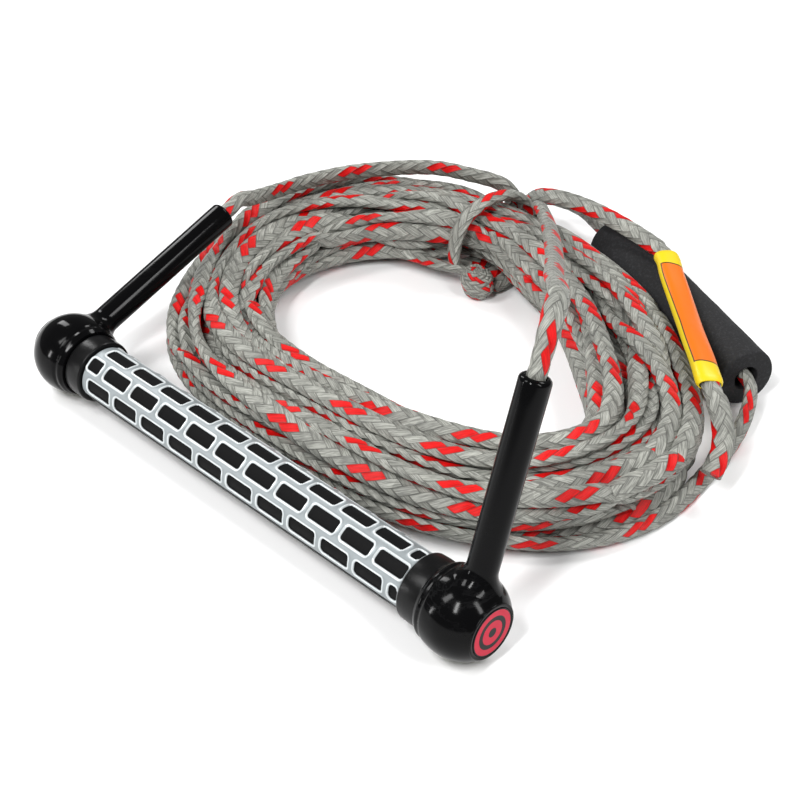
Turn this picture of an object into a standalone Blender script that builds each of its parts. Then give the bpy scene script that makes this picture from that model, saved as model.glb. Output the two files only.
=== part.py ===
"""Tow rope handle: a floating grip bar with two swivelling end caps and its coiled tow rope.

The bar lies along X on a flat surface. Its two end caps turn about the bar, and the rope runs
through the bar and both caps, out of the arm tips and into a coil behind the bar. The rope's
far end passes through a foam float and back on itself as the loop that hooks on a boat.
Units are metres, +Z is up. Every place is measured from a point on the surface straight under
the middle of the bar, and the empty handle_origin then sets that point in the part's own frame.
"""

import math

import bmesh
import bpy
import numpy as np
from mathutils import Vector

# --- driving dimensions ------------------------------------------------------------------
GAP = 0.0003                     # clearance between pieces that touch

BAR_HEIGHT = 0.0215              # height of the bar's axis, which the bulbs set
TUBE_RADIUS, TUBE_BORE = 0.0110, 0.0090
TUBE_HALF = 0.1325               # half the aluminium tube's length

GRIP_HALF = 0.1170               # half the grip's length
GRIP_RADIUS = 0.0140             # rubber under the lattice
GRIP_UNDERSIDE = 0.0151          # rubber left proud along the underside
LATTICE_WALL = 0.0010
LATTICE_FROM, LATTICE_TO = math.radians(-21), math.radians(217)
LATTICE_ROWS = 5
ROW_PITCH = math.radians(45)
ROW_FIRST = math.radians(8)
WINDOW_SPAN = math.radians(27)
WINDOW_LENGTH, WINDOW_PITCH = 0.0180, 0.02224
WINDOW_FIRST = -0.1118           # where an even row's first window starts
ODD_ROW_SHIFT = -0.0128          # an odd row starts this far along from an even one
LATTICE_EDGE = 0.0012            # plain edge at both ends of the lattice

COLLAR_RADIUS = 0.0173
COLLAR_START, COLLAR_END = 0.1175, 0.1290
COLLAR_EDGE = 0.0008

CAP_NECK, CAP_FACE = 0.1293, 0.1605      # where an end cap starts and ends along the bar
BULB_RADIUS, BULB_CENTRE = 0.0215, 0.1435
BULB_OUTER_REACH, BULB_INNER_REACH = 0.0217, 0.0270
CAP_WALL = 0.0035
CAP_BORE = 0.0114                # runs on the tube
ARM_X = 0.1465                   # where an arm leaves the bar's line
ARM_RADIUS, ARM_BORE = 0.0075, 0.00475
ARM_REACH = 0.1180               # from the bar's axis to the arm's tip
ARM_TIP_ROUND = 0.0024
FLARE_END, FLARE_RADIUS = 0.0340, 0.0130
LEFT_ARM_RISE, RIGHT_ARM_RISE = math.radians(19.5), math.radians(71.5)

BADGE_RADIUS, BADGE_RECESS = 0.0122, 0.0125
BADGE_FLOOR, BADGE_FACE = 0.1592, 0.1607

ROPE_RADIUS = 0.00425
GUIDE_BORE, GUIDE_WALL = 0.0047, 0.0012
GUIDE_START, GUIDE_END = 0.1353, 0.0202
FLANGE_FACE, FLANGE_RADIUS = 0.1350, 0.0135

# The coil: thirteen stations round its centre line, each (x, y, width, height).
COIL_STATIONS = (
    (-0.151, 0.150, 0.056, 0.045), (-0.138, 0.204, 0.059, 0.047), (-0.1005, 0.238, 0.059, 0.048),
    (-0.048, 0.248, 0.053, 0.046), (0.011, 0.238, 0.054, 0.045), (0.0645, 0.209, 0.061, 0.045),
    (0.109, 0.171, 0.063, 0.045), (0.125, 0.128, 0.060, 0.045), (0.1025, 0.082, 0.067, 0.046),
    (0.049, 0.0565, 0.068, 0.047), (-0.025, 0.0495, 0.056, 0.046), (-0.090, 0.061, 0.062, 0.042),
    (-0.132, 0.098, 0.056, 0.037),
)
COIL_ROUNDING = 0.85             # 1 gives an oval section, less gives squarer shoulders
TIE_X = -0.0600                  # the legs tie the coil here, on its far side
TIE_LENGTH = 0.030
TIE_LIFT, TIE_HEIGHT, TIE_WIDTH = 0.0097, 0.032, 0.039

ARM_TIP_START = ARM_REACH + 4 * GAP  # a leg's tube starts clear of the arm's tip
RIGHT_LEG_ROUTE = (
    (0.1460, 0.0442, 0.1550), (0.1332, 0.0612, 0.1530), (0.1046, 0.0971, 0.1350), (0.0671, 0.1432, 0.1080),
    (0.0205, 0.1971, 0.0790), (-0.0136, 0.2337, 0.0600), (-0.0377, 0.2570, 0.0490), (-0.0500, 0.2725, 0.0350),
    (-0.053, 0.2755, 0.018), (-0.0525, 0.265, 0.0065), (-0.0490, 0.250, 0.0048),
    (-0.0465, 0.238, 0.0048), (-0.0465, 0.2270, 0.0050),
)
LEFT_LEG_ROUTE = (
    (-0.1490, 0.1340, 0.0610), (-0.1550, 0.1600, 0.0545), (-0.1560, 0.1830, 0.0515), (-0.1430, 0.2130, 0.0520),
    (-0.1170, 0.2440, 0.0525), (-0.0940, 0.2570, 0.0510), (-0.0775, 0.2695, 0.0430),
    (-0.0745, 0.2765, 0.027), (-0.0740, 0.2735, 0.012), (-0.0725, 0.256, 0.0052),
    (-0.0710, 0.238, 0.0055), (-0.0700, 0.222, 0.0105), (-0.0690, 0.2180, 0.025),
    (-0.0680, 0.2240, 0.041), (-0.0670, 0.241, 0.0475), (-0.0655, 0.261, 0.0450),
    (-0.0640, 0.2740, 0.034), (-0.0635, 0.2755, 0.018), (-0.0620, 0.265, 0.0065),
    (-0.0585, 0.250, 0.0048), (-0.0560, 0.238, 0.0048), (-0.0560, 0.2270, 0.0050),
)
SPLICE_CENTRE, SPLICE_SIZE = (-0.0512, 0.2186, 0.0100), (0.0190, 0.0146, 0.0190)
SPLICE_ROUND = 0.0045

FLOAT_RADIUS, FLOAT_BORE, FLOAT_LENGTH = 0.0165, 0.0068, 0.150
FLOAT_NEAR_END = (0.1225, 0.2415, 0.0168)
FLOAT_BEARING = math.radians(157)
TOW_APPROACH = (
    (0.1510, 0.1605, 0.0050), (0.1485, 0.1770, 0.0050), (0.1453, 0.1930, 0.0058), (0.1422, 0.2080, 0.0082),
    (0.1378, 0.2215, 0.0118), (0.1316, 0.2328, 0.0152),
)
TOW_RETURN = (
    (-0.036, 0.3085, 0.0170), (-0.056, 0.3150, 0.0175), (-0.073, 0.3110, 0.0190), (-0.077, 0.2960, 0.0240),
    (-0.066, 0.2880, 0.0340), (-0.046, 0.2860, 0.0405), (-0.020, 0.2860, 0.0425), (0.010, 0.2840, 0.0415),
    (0.037, 0.2775, 0.0410), (0.0530, 0.2640, 0.0400), (0.0700, 0.2494, 0.0390), (0.0855, 0.2350, 0.0400),
    (0.1010, 0.2200, 0.0425), (0.1170, 0.2055, 0.0440), (0.1325, 0.1915, 0.0435), (0.1465, 0.1835, 0.0350),
    (0.1555, 0.1740, 0.0245), (0.1585, 0.1615, 0.0170),
)
LABEL_ENDS = (0.037, 0.2775, 0.0410), (0.1325, 0.1915, 0.0435)
LABEL_BORE, LABEL_WALL = 0.0052, 0.0010

ROUND = 32                       # sides of a large round piece
SMALL_ROUND = 20


# --- scene helpers ------------------------------------------------------------------------
def clear_scene():
    """Removes every object so that the script can be run again."""
    for item in list(bpy.data.objects):
        bpy.data.objects.remove(item)


def make_collection(name):
    """A new collection under the scene's own."""
    collection = bpy.data.collections.new(name)
    bpy.context.scene.collection.children.link(collection)
    return collection


def make_material(name, colour, roughness, metallic=0.0):
    """A Principled material of one colour."""
    material = bpy.data.materials.new(name)
    material.use_nodes = True
    shader = material.node_tree.nodes["Principled BSDF"]
    shader.inputs["Base Color"].default_value = (*colour, 1.0)
    shader.inputs["Roughness"].default_value = roughness
    shader.inputs["Metallic"].default_value = metallic
    material.diffuse_color = (*colour, 1.0)
    return material


class Finish:
    """The colours of the rope handle's pieces: name, colour, roughness, metallic value."""

    TABLE = {
        "gloss_black": ((0.012, 0.012, 0.013), 0.18, 0.0),
        "satin_black": ((0.02, 0.02, 0.02), 0.45, 0.0),
        "grip_rubber": ((0.015, 0.015, 0.016), 0.6, 0.0),
        "lattice_silver": ((0.42, 0.45, 0.46), 0.4, 0.0),
        "aluminium": ((0.75, 0.75, 0.77), 0.3, 1.0),
        "white_foam": ((0.8, 0.8, 0.78), 0.9, 0.0),
        "float_foam": ((0.03, 0.03, 0.032), 0.85, 0.0),
        "rope_grey": ((0.45, 0.46, 0.44), 0.7, 0.0),
        "rope_red": ((0.75, 0.03, 0.04), 0.6, 0.0),
        "label_orange": ((0.95, 0.35, 0.03), 0.35, 0.0),
        "white_plastic": ((0.7, 0.7, 0.7), 0.4, 0.0),
        "badge_red": ((0.6, 0.02, 0.05), 0.3, 0.0),
    }

    @classmethod
    def dress(cls, item, finish):
        """Gives the object its own material of the named finish."""
        colour, roughness, metallic = cls.TABLE[finish]
        item.data.materials.clear()
        item.data.materials.append(make_material(item.name, colour, roughness, metallic))


def add_object(name, data, collection, parent, location=(0, 0, 0), rotation=(0, 0, 0)):
    """Links an object to the collection, at a place under its parent."""
    item = bpy.data.objects.new(name, data)
    collection.objects.link(item)
    item.parent = parent
    item.location = location
    item.rotation_euler = rotation
    return item


def add_empty(name, collection, parent, location, rotation=(0, 0, 0)):
    """An empty that carries the pieces of one body."""
    return add_object(name, None, collection, parent, location, rotation)


def hide_cutter(item):
    """Marks an object as a cutter."""
    item.hide_render = True
    item.display_type = "WIRE"


def smooth(item, angle=math.radians(35)):
    """Shades a mesh smooth except at its sharp edges."""
    item.data.shade_smooth()
    item.data.set_sharp_from_angle(angle=angle)


# --- shape helpers ------------------------------------------------------------------------
def turned(name, profile, collection, parent, location=(0, 0, 0), rotation=(0, 0, 0), sides=ROUND):
    """A turned piece: the profile, points (radius, height), goes round the object's own Z axis.

    The profile runs down the outer side. A profile that starts and ends on the axis is a solid
    piece, and any other is closed into a ring.
    """
    solid = profile[0][0] == 0 and profile[-1][0] == 0
    count = len(profile)
    edges = [(i, i + 1) for i in range(count - 1)]
    if not solid:
        edges.append((count - 1, 0))
    mesh = bpy.data.meshes.new(name)
    mesh.from_pydata([(radius, 0, height) for radius, height in profile], edges, [])
    item = add_object(name, mesh, collection, parent, location, rotation)
    screw = item.modifiers.new("turn", "SCREW")
    screw.axis = "Z"
    screw.steps = sides
    screw.render_steps = sides
    screw.use_merge_vertices = True
    screw.merge_threshold = 0.00001
    return item


def ring_profile(inner, outer, low, high):
    """The rectangular section of a plain ring or tube."""
    return [(outer, high), (outer, low), (inner, low), (inner, high)]


def boolean(item, other, operation):
    """Adds an exact Boolean with another object."""
    modifier = item.modifiers.new(operation.lower(), "BOOLEAN")
    modifier.operation = operation
    modifier.solver = "EXACT"
    modifier.object = other


def curve_tube(name, points, radius, collection, parent, capped=True, resolution=2):
    """A round tube along a list of points, as a POLY spline with a bevel."""
    curve = bpy.data.curves.new(name, "CURVE")
    curve.dimensions = "3D"
    curve.bevel_depth = radius
    curve.bevel_resolution = resolution
    curve.use_fill_caps = capped
    spline = curve.splines.new("POLY")
    spline.points.add(len(points) - 1)
    for place, point in zip(spline.points, points):
        place.co = (*point, 1.0)
    return add_object(name, curve, collection, parent)


def as_mesh(item):
    """Turns a curve object into a mesh object of the same name, with its caps welded."""
    graph = bpy.context.evaluated_depsgraph_get()
    mesh = bpy.data.meshes.new_from_object(item.evaluated_get(graph))
    name, parent, matrix = item.name, item.parent, item.matrix_basis.copy()
    collection = item.users_collection[0]
    curve = item.data
    bpy.data.objects.remove(item)
    bpy.data.curves.remove(curve)
    work = bmesh.new()
    work.from_mesh(mesh)
    bmesh.ops.remove_doubles(work, verts=work.verts, dist=0.00001)
    work.to_mesh(mesh)
    work.free()
    mesh_item = add_object(name, mesh, collection, parent)
    mesh_item.matrix_basis = matrix
    return mesh_item


def hollow_tube(name, points, bore, wall, collection, parent, resolution=3):
    """A bent pipe: an open tube along the points, given a wall on its outside."""
    pipe = as_mesh(curve_tube(name, points, bore, collection, parent, capped=False, resolution=resolution))
    work = bmesh.new()
    work.from_mesh(pipe.data)
    bmesh.ops.recalc_face_normals(work, faces=work.faces)
    first = work.faces[0]
    nearest = min((Vector(point) for point in points),
                  key=lambda point: (point - first.calc_center_median()).length)
    if first.normal.dot(first.calc_center_median() - nearest) < 0:
        bmesh.ops.reverse_faces(work, faces=work.faces)
    work.to_mesh(pipe.data)
    work.free()
    solidify = pipe.modifiers.new("wall", "SOLIDIFY")
    solidify.thickness = wall
    solidify.offset = 1.0
    solidify.use_even_offset = True
    return pipe


def smooth_route(points, spacing):
    """Points an even distance apart on the Catmull-Rom curve through the route's points."""
    points = np.array(points, dtype=float)
    ends = np.vstack([2 * points[0] - points[1], points, 2 * points[-1] - points[-2]])
    steps = np.linspace(0, 1, 24, endpoint=False)[:, None]
    pieces = []
    for before, start, stop, after in zip(ends, ends[1:], ends[2:], ends[3:]):
        pieces.append(0.5 * (2 * start + (stop - before) * steps
                             + (2 * before - 5 * start + 4 * stop - after) * steps ** 2
                             + (3 * start - before - 3 * stop + after) * steps ** 3))
    fine = np.vstack(pieces + [points[-1:]])
    along = np.concatenate([[0], np.cumsum(np.linalg.norm(np.diff(fine, axis=0), axis=1))])
    count = max(2, int(round(along[-1] / spacing)) + 1)
    even = np.linspace(0, along[-1], count)
    return np.column_stack([np.interp(even, along, fine[:, axis]) for axis in range(3)])


# --- the coil's shape ---------------------------------------------------------------------
def coil_stations(turn):
    """The coil's centre, width and height at a turn angle, smooth through all the stations.

    The values are the Fourier series that passes through the stations at even angles, so the
    outline is smooth all round.
    """
    stations = np.array(COIL_STATIONS)
    count = len(stations)
    terms = np.fft.rfft(stations, axis=0) / count
    terms[1:] *= 2
    order = np.arange(len(terms))
    return np.real(np.exp(1j * order * turn) @ terms)


def coil_section(turn):
    """The coil's section at a turn angle: centre (x, y), outward direction, half sizes and base."""
    x, y, width, height = coil_stations(turn)
    before, after = coil_stations(turn - 0.01), coil_stations(turn + 0.01)
    along = Vector((after[0] - before[0], after[1] - before[1])).normalized()
    outward = Vector((-along.y, along.x))
    tied = math.exp(-(((x - TIE_X) / TIE_LENGTH) ** 6)) if y > COIL_STATIONS[0][1] else 0.0
    width += (TIE_WIDTH - width) * tied
    height += (TIE_HEIGHT - height) * tied
    return Vector((x, y)), outward, width / 2, height / 2, TIE_LIFT * tied


def shape_power(value):
    """Pushes a sine or cosine outward, for a section with fuller shoulders."""
    return math.copysign(abs(value) ** COIL_ROUNDING, value)


def build_coil(collection, parent):
    """The outer shape of the coiled rope: a torus moved to the coil's outline and section."""
    major = 0.1
    bpy.ops.mesh.primitive_torus_add(major_segments=66, minor_segments=14,
                                     major_radius=major, minor_radius=0.02)
    item = bpy.context.object
    item.name = "rope_coil"
    for holder in list(item.users_collection):
        holder.objects.unlink(item)
    collection.objects.link(item)
    item.parent = parent
    for vertex in item.data.vertices:
        turn = math.atan2(vertex.co.y, vertex.co.x)
        side = math.atan2(vertex.co.z, math.hypot(vertex.co.x, vertex.co.y) - major)
        centre, outward, half_width, half_height, base = coil_section(math.pi - turn)
        place = centre + outward * half_width * shape_power(math.cos(side))
        height = base + half_height * (1 + shape_power(math.sin(side)))
        vertex.co = (place.x, place.y, height)
    work = bmesh.new()
    work.from_mesh(item.data)
    bmesh.ops.recalc_face_normals(work, faces=work.faces)
    work.to_mesh(item.data)
    work.free()
    smooth(item)
    Finish.dress(item, "rope_grey")


# --- the bar ------------------------------------------------------------------------------
def along_bar(side=1):
    """The turn that lays a turned piece's axis along the bar, out to the given side."""
    return (0, side * math.radians(90), 0)


def build_bar(collection, parent):
    """The aluminium tube with its foam core and the stretch of rope inside it."""
    tube = turned("bar_tube", ring_profile(TUBE_BORE, TUBE_RADIUS, -TUBE_HALF, TUBE_HALF),
                  collection, parent, rotation=along_bar())
    Finish.dress(tube, "aluminium")
    foam = turned("foam_core", ring_profile(GUIDE_BORE, TUBE_BORE - GAP, -GRIP_HALF, GRIP_HALF),
                  collection, parent, rotation=along_bar(), sides=SMALL_ROUND)
    Finish.dress(foam, "white_foam")
    rope = turned("rope_in_bar", [(0, FLANGE_FACE), (ROPE_RADIUS, FLANGE_FACE),
                                  (ROPE_RADIUS, -FLANGE_FACE), (0, -FLANGE_FACE)],
                  collection, parent, rotation=along_bar(), sides=12)
    Finish.dress(rope, "rope_grey")


def build_grip_sleeve(collection, parent):
    """The rubber sleeve: its section steps in over the arc where the lattice lies."""
    curve = bpy.data.curves.new("grip_sleeve", "CURVE")
    curve.dimensions = "2D"
    curve.fill_mode = "BOTH"
    curve.extrude = GRIP_HALF
    margin = GAP / GRIP_RADIUS * 2
    start, stop = LATTICE_FROM - margin, LATTICE_TO + margin
    top = [(GRIP_RADIUS, angle) for angle in np.linspace(start, stop, 40)]
    under = [(GRIP_UNDERSIDE, angle) for angle in np.linspace(stop, start + 2 * math.pi, 18)]
    bore = [(TUBE_RADIUS + GAP, angle) for angle in np.linspace(0, 2 * math.pi, ROUND, endpoint=False)]
    for outline in (top + under, bore):
        spline = curve.splines.new("POLY")
        spline.points.add(len(outline) - 1)
        spline.use_cyclic_u = True
        for place, (radius, angle) in zip(spline.points, outline):
            # The outline's up is the object's -X once the sleeve lies along the bar.
            place.co = (-radius * math.sin(angle), -radius * math.cos(angle), 0, 1)
    sleeve = add_object("grip_sleeve", curve, collection, parent, rotation=along_bar())
    Finish.dress(sleeve, "grip_rubber")


def lattice_windows():
    """The windows of one even row and one odd row, as (start, end) places along the bar."""
    limit = GRIP_HALF - LATTICE_EDGE
    rows = []
    for shift in (0.0, ODD_ROW_SHIFT):
        starts = WINDOW_FIRST + shift + WINDOW_PITCH * np.arange(12)
        windows = [(max(start, -limit), min(start + WINDOW_LENGTH, limit)) for start in starts]
        rows.append([window for window in windows if window[1] > window[0]])
    return rows


def build_lattice(collection, parent):
    """The raised silver lattice: a curved sheet with staggered rows of windows, given a wall."""
    windows = lattice_windows()
    cuts = sorted({round(place, 7) for row in windows for window in row for place in window}
                  | {-GRIP_HALF, GRIP_HALF})
    angles, row_of_band = [LATTICE_FROM], [None]
    for row in range(LATTICE_ROWS):
        middle = ROW_FIRST + row * ROW_PITCH
        angles += [middle - WINDOW_SPAN / 2, middle, middle + WINDOW_SPAN / 2]
        row_of_band += [row, row, None]
    angles.append(LATTICE_TO)
    radius = GRIP_RADIUS + GAP
    work = bmesh.new()
    grid = [[work.verts.new((x, -radius * math.cos(angle), radius * math.sin(angle))) for x in cuts]
            for angle in angles]
    for band, row in enumerate(row_of_band):
        for i, (low, high) in enumerate(zip(cuts, cuts[1:])):
            middle = (low + high) / 2
            if row is not None and any(start < middle < stop for start, stop in windows[row % 2]):
                continue
            work.faces.new((grid[band][i], grid[band][i + 1], grid[band + 1][i + 1], grid[band + 1][i]))
    bmesh.ops.delete(work, geom=[vertex for vertex in work.verts if not vertex.link_faces], context="VERTS")
    mesh = bpy.data.meshes.new("grip_lattice")
    work.normal_update()
    work.to_mesh(mesh)
    work.free()
    item = add_object("grip_lattice", mesh, collection, parent)
    wall = item.modifiers.new("wall", "SOLIDIFY")
    wall.thickness = LATTICE_WALL
    wall.offset = 1.0
    Finish.dress(item, "lattice_silver")


def build_bar_end(side, collection, parent):
    """One end of the bar: its bush, whose flange keeps the cap on, and the collar by the grip."""
    name = "right" if side > 0 else "left"
    bush = turned(f"{name}_bar_bush",
                  [(FLANGE_RADIUS, FLANGE_FACE), (FLANGE_RADIUS, TUBE_HALF + GAP),
                   (TUBE_BORE - GAP, TUBE_HALF + GAP), (TUBE_BORE - GAP, COLLAR_START + 2 * GAP),
                   (GUIDE_BORE, COLLAR_START + 2 * GAP), (GUIDE_BORE, FLANGE_FACE)],
                  collection, parent, rotation=along_bar(side), sides=32)
    Finish.dress(bush, "white_plastic")
    collar = turned(f"{name}_collar",
                    [(COLLAR_RADIUS - COLLAR_EDGE, COLLAR_END), (COLLAR_RADIUS, COLLAR_END - COLLAR_EDGE),
                     (COLLAR_RADIUS, COLLAR_START + COLLAR_EDGE), (COLLAR_RADIUS - COLLAR_EDGE, COLLAR_START),
                     (TUBE_RADIUS + GAP, COLLAR_START), (TUBE_RADIUS + GAP, COLLAR_END)],
                    collection, parent, rotation=along_bar(side))
    Finish.dress(collar, "satin_black")


# --- the end caps -------------------------------------------------------------------------
def bulb_radius(place):
    """The bulb's outer radius: two half ovals that meet at its widest place."""
    reach = BULB_OUTER_REACH if place > BULB_CENTRE else BULB_INNER_REACH
    return BULB_RADIUS * math.sqrt(1 - ((place - BULB_CENTRE) / reach) ** 2)


def bulb_profile():
    """The turned outline of an end cap's bulb, from its flat face down to its neck."""
    places = np.linspace(CAP_FACE, CAP_NECK, 11)
    return [(0, CAP_FACE)] + [(bulb_radius(place), place) for place in places] + [(0, CAP_NECK)]


def cavity_profile():
    """The room inside a bulb, and the bore that runs on the tube."""
    inner_end = TUBE_HALF - 0.0001
    places = np.linspace(BADGE_FLOOR - CAP_WALL, inner_end, 6)
    room = [(bulb_radius(place) - CAP_WALL, place) for place in places]
    below = CAP_NECK - 0.002
    return [(0, places[0])] + room + [(CAP_BORE, inner_end), (CAP_BORE, below), (0, below)]


def arm_profile():
    """The turned outline of an arm, from its rounded tip down to the flare at the bulb."""
    arc = np.radians(np.linspace(90, 0, 4))
    core = ARM_RADIUS - ARM_TIP_ROUND
    tip = [(core + ARM_TIP_ROUND * math.cos(angle), ARM_REACH - ARM_TIP_ROUND * (1 - math.sin(angle)))
           for angle in arc]
    low = 0.016
    flare = [(ARM_RADIUS + (FLARE_RADIUS - ARM_RADIUS) * ((FLARE_END - place) / (FLARE_END - low)) ** 2.5, place)
             for place in np.linspace(FLARE_END, low, 5)]
    return [(0, ARM_REACH)] + tip + flare + [(0, low)]


def arm_bore_profile():
    """The bore of an arm, with the wider seat that holds the rope guide."""
    seat = GUIDE_BORE + GUIDE_WALL + 2 * GAP
    seat_end = GUIDE_END + GAP
    beyond = ARM_REACH + 0.002
    return [(0, beyond), (ARM_BORE, beyond), (ARM_BORE, seat_end), (seat, seat_end), (seat, 0.010), (0, 0.010)]


def guide_route():
    """The rope's way from the bar's line up into an arm: a straight, a quarter bend, a straight."""
    straight = 0.0012
    bend = ARM_X - GUIDE_START - straight
    arc = [(GUIDE_START + straight + bend * math.sin(angle), bend * (1 - math.cos(angle)), 0)
           for angle in np.radians(np.linspace(0, 90, 8))]
    return [(GUIDE_START, 0, 0)] + arc


def build_end_cap(side, rise, collection, cutters, parent):
    """One moulded end cap with what it carries: badge, rope guide and the rope in its arm."""
    name = "right" if side > 0 else "left"
    pivot = add_empty(f"{name}_cap_pivot", collection, parent, (0, 0, 0), (rise, 0, 0))
    out, up_arm = along_bar(side), (math.radians(-90), 0, 0)
    arm_foot = (side * ARM_X, 0, 0)

    cap = turned(f"{name}_end_cap", bulb_profile(), collection, pivot, rotation=out)
    arm = turned(f"{name}_arm_blank", arm_profile(), cutters, pivot, arm_foot, up_arm, sides=SMALL_ROUND)
    room = turned(f"{name}_cap_room", cavity_profile(), cutters, pivot, rotation=out, sides=24)
    bore = turned(f"{name}_arm_bore", arm_bore_profile(), cutters, pivot, arm_foot, up_arm, sides=SMALL_ROUND)
    recess = turned(f"{name}_badge_recess",
                    [(0, CAP_FACE + 0.002), (BADGE_RECESS, CAP_FACE + 0.002),
                     (BADGE_RECESS, BADGE_FLOOR), (0, BADGE_FLOOR)],
                    cutters, pivot, rotation=out, sides=ROUND)
    boolean(cap, arm, "UNION")
    for cutter in (room, bore, recess):
        boolean(cap, cutter, "DIFFERENCE")
    for hidden in (arm, room, bore, recess):
        hide_cutter(hidden)
    Finish.dress(cap, "gloss_black")

    edge = 0.0003
    badge = turned(f"{name}_badge",
                   [(0, BADGE_FACE), (BADGE_RADIUS - edge, BADGE_FACE), (BADGE_RADIUS, BADGE_FACE - edge),
                    (BADGE_RADIUS, BADGE_FLOOR + GAP), (0, BADGE_FLOOR + GAP)],
                   collection, pivot, rotation=out)
    Finish.dress(badge, "badge_red")

    route = [(side * x, y, z) for x, y, z in guide_route()]
    guide_points = route + [(side * ARM_X, GUIDE_END, 0)]
    guide = hollow_tube(f"{name}_rope_guide", guide_points, GUIDE_BORE, GUIDE_WALL, collection, pivot)
    Finish.dress(guide, "white_plastic")
    rope_end = ARM_REACH - 0.008
    rope_points = guide_points + [(side * ARM_X, y, 0) for y in np.linspace(0.034, rope_end, 5)]
    rope = curve_tube(f"rope_in_{name}_arm", rope_points, ROPE_RADIUS, collection, pivot, resolution=3)
    Finish.dress(rope, "rope_grey")


# --- the free rope ------------------------------------------------------------------------
def arm_tip(side, rise):
    """Two points on an arm's axis just past its tip, where a leg of the rope comes out."""
    return [(side * ARM_X, reach * math.cos(rise), BAR_HEIGHT + reach * math.sin(rise))
            for reach in (ARM_TIP_START, ARM_TIP_START + 0.012)]


def build_leg(name, side, rise, route, collection, parent):
    """One leg of the rope, from an arm's tip to the splice behind the tie."""
    points = smooth_route(arm_tip(side, rise) + list(route), spacing=0.0165)
    leg = curve_tube(name, points, ROPE_RADIUS, collection, parent)
    Finish.dress(leg, "rope_grey")


def build_splice(collection, parent):
    """The bound lump inside the coil where both legs join the main line."""
    bpy.ops.mesh.primitive_cube_add(size=1)
    item = bpy.context.object
    item.name = "bridle_splice"
    for holder in list(item.users_collection):
        holder.objects.unlink(item)
    collection.objects.link(item)
    item.parent = parent
    for vertex in item.data.vertices:
        vertex.co = [share * size for share, size in zip(vertex.co, SPLICE_SIZE)]
    item.location = SPLICE_CENTRE
    bevel = item.modifiers.new("round", "BEVEL")
    bevel.width = SPLICE_ROUND
    bevel.segments = 3
    Finish.dress(item, "rope_red")


def float_axis():
    """The direction from the float's near end to its far end."""
    return Vector((math.cos(FLOAT_BEARING), math.sin(FLOAT_BEARING), 0))


def tow_points():
    """The tow end's route, and where along it the float's far end comes."""
    near = Vector(FLOAT_NEAR_END)
    inside = [tuple(near + float_axis() * (FLOAT_LENGTH * share)) for share in (0, 0.25, 0.5, 0.75, 1)]
    lead = smooth_route(list(TOW_APPROACH) + inside, spacing=0.018)
    back = smooth_route([inside[-2], inside[-1]] + list(TOW_RETURN), spacing=0.0165)
    skipped = int(round(FLOAT_LENGTH * 0.25 / 0.0165))
    return lead, back[skipped:]


def build_tow_end(collection, parent):
    """The tow end: the rope through the float and back, with its printed sleeve."""
    lead, back = tow_points()
    rope = curve_tube("tow_loop_rope", np.vstack([lead, back[1:]]), ROPE_RADIUS, collection, parent)
    Finish.dress(rope, "rope_grey")
    first, last = (int(np.argmin(np.linalg.norm(back - np.array(end), axis=1))) for end in LABEL_ENDS)
    chosen = back[first:last + 1]
    label = hollow_tube("printed_sleeve", [tuple(point) for point in chosen], LABEL_BORE, LABEL_WALL,
                        collection, parent)
    Finish.dress(label, "label_orange")


def build_float(collection, parent):
    """The foam float on the tow end, lying on the surface behind the coil."""
    middle = Vector(FLOAT_NEAR_END) + float_axis() * (FLOAT_LENGTH / 2)
    edge = 0.0012
    half = FLOAT_LENGTH / 2
    body = turned("tow_float",
                  [(FLOAT_RADIUS - edge, half), (FLOAT_RADIUS, half - edge), (FLOAT_RADIUS, edge - half),
                   (FLOAT_RADIUS - edge, -half), (FLOAT_BORE, -half), (FLOAT_BORE, half)],
                  collection, parent, tuple(middle), (math.radians(90), 0, FLOAT_BEARING + math.radians(90)),
                  sides=32)
    Finish.dress(body, "float_foam")


def handle_offset():
    """How far the bar's axis lies in front of the part's origin.

    The origin is the middle of the handle's box, from the front of the bulbs to the far side of
    the left arm's rounded tip.
    """
    core = ARM_RADIUS - ARM_TIP_ROUND
    back = ((ARM_REACH - ARM_TIP_ROUND) * math.cos(LEFT_ARM_RISE)
            + core * math.sin(LEFT_ARM_RISE) + ARM_TIP_ROUND)
    return (BULB_RADIUS - back) / 2


def main():
    """Builds the whole part."""
    clear_scene()
    parts = make_collection("tow_rope_handle")
    cutters = make_collection("cutters")
    origin = add_empty("handle_origin", parts, None, (0, handle_offset(), 0))
    bar = add_empty("bar_axis", parts, origin, (0, 0, BAR_HEIGHT))
    build_bar(parts, bar)
    build_grip_sleeve(parts, bar)
    build_lattice(parts, bar)
    for side, rise in ((-1, LEFT_ARM_RISE), (1, RIGHT_ARM_RISE)):
        build_bar_end(side, parts, bar)
        build_end_cap(side, rise, parts, cutters, bar)
    build_coil(parts, origin)
    build_leg("right_leg_rope", 1, RIGHT_ARM_RISE, RIGHT_LEG_ROUTE, parts, origin)
    build_leg("left_leg_rope", -1, LEFT_ARM_RISE, LEFT_LEG_ROUTE, parts, origin)
    build_splice(parts, origin)
    build_tow_end(parts, origin)
    build_float(parts, origin)


main()
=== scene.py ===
"""Looks of the tow rope handle: grip bar, end caps, coiled braided rope, float and printed sleeve.

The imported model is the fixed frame. Each sub-assembly is a class that computes its surfaces as
numpy grids, puts them in Blender and dresses them. Places come from the frame; lengths are metres.
"""

import logging
import math
from dataclasses import dataclass, field
from enum import Enum
from typing import Callable, Optional, Sequence

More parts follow.
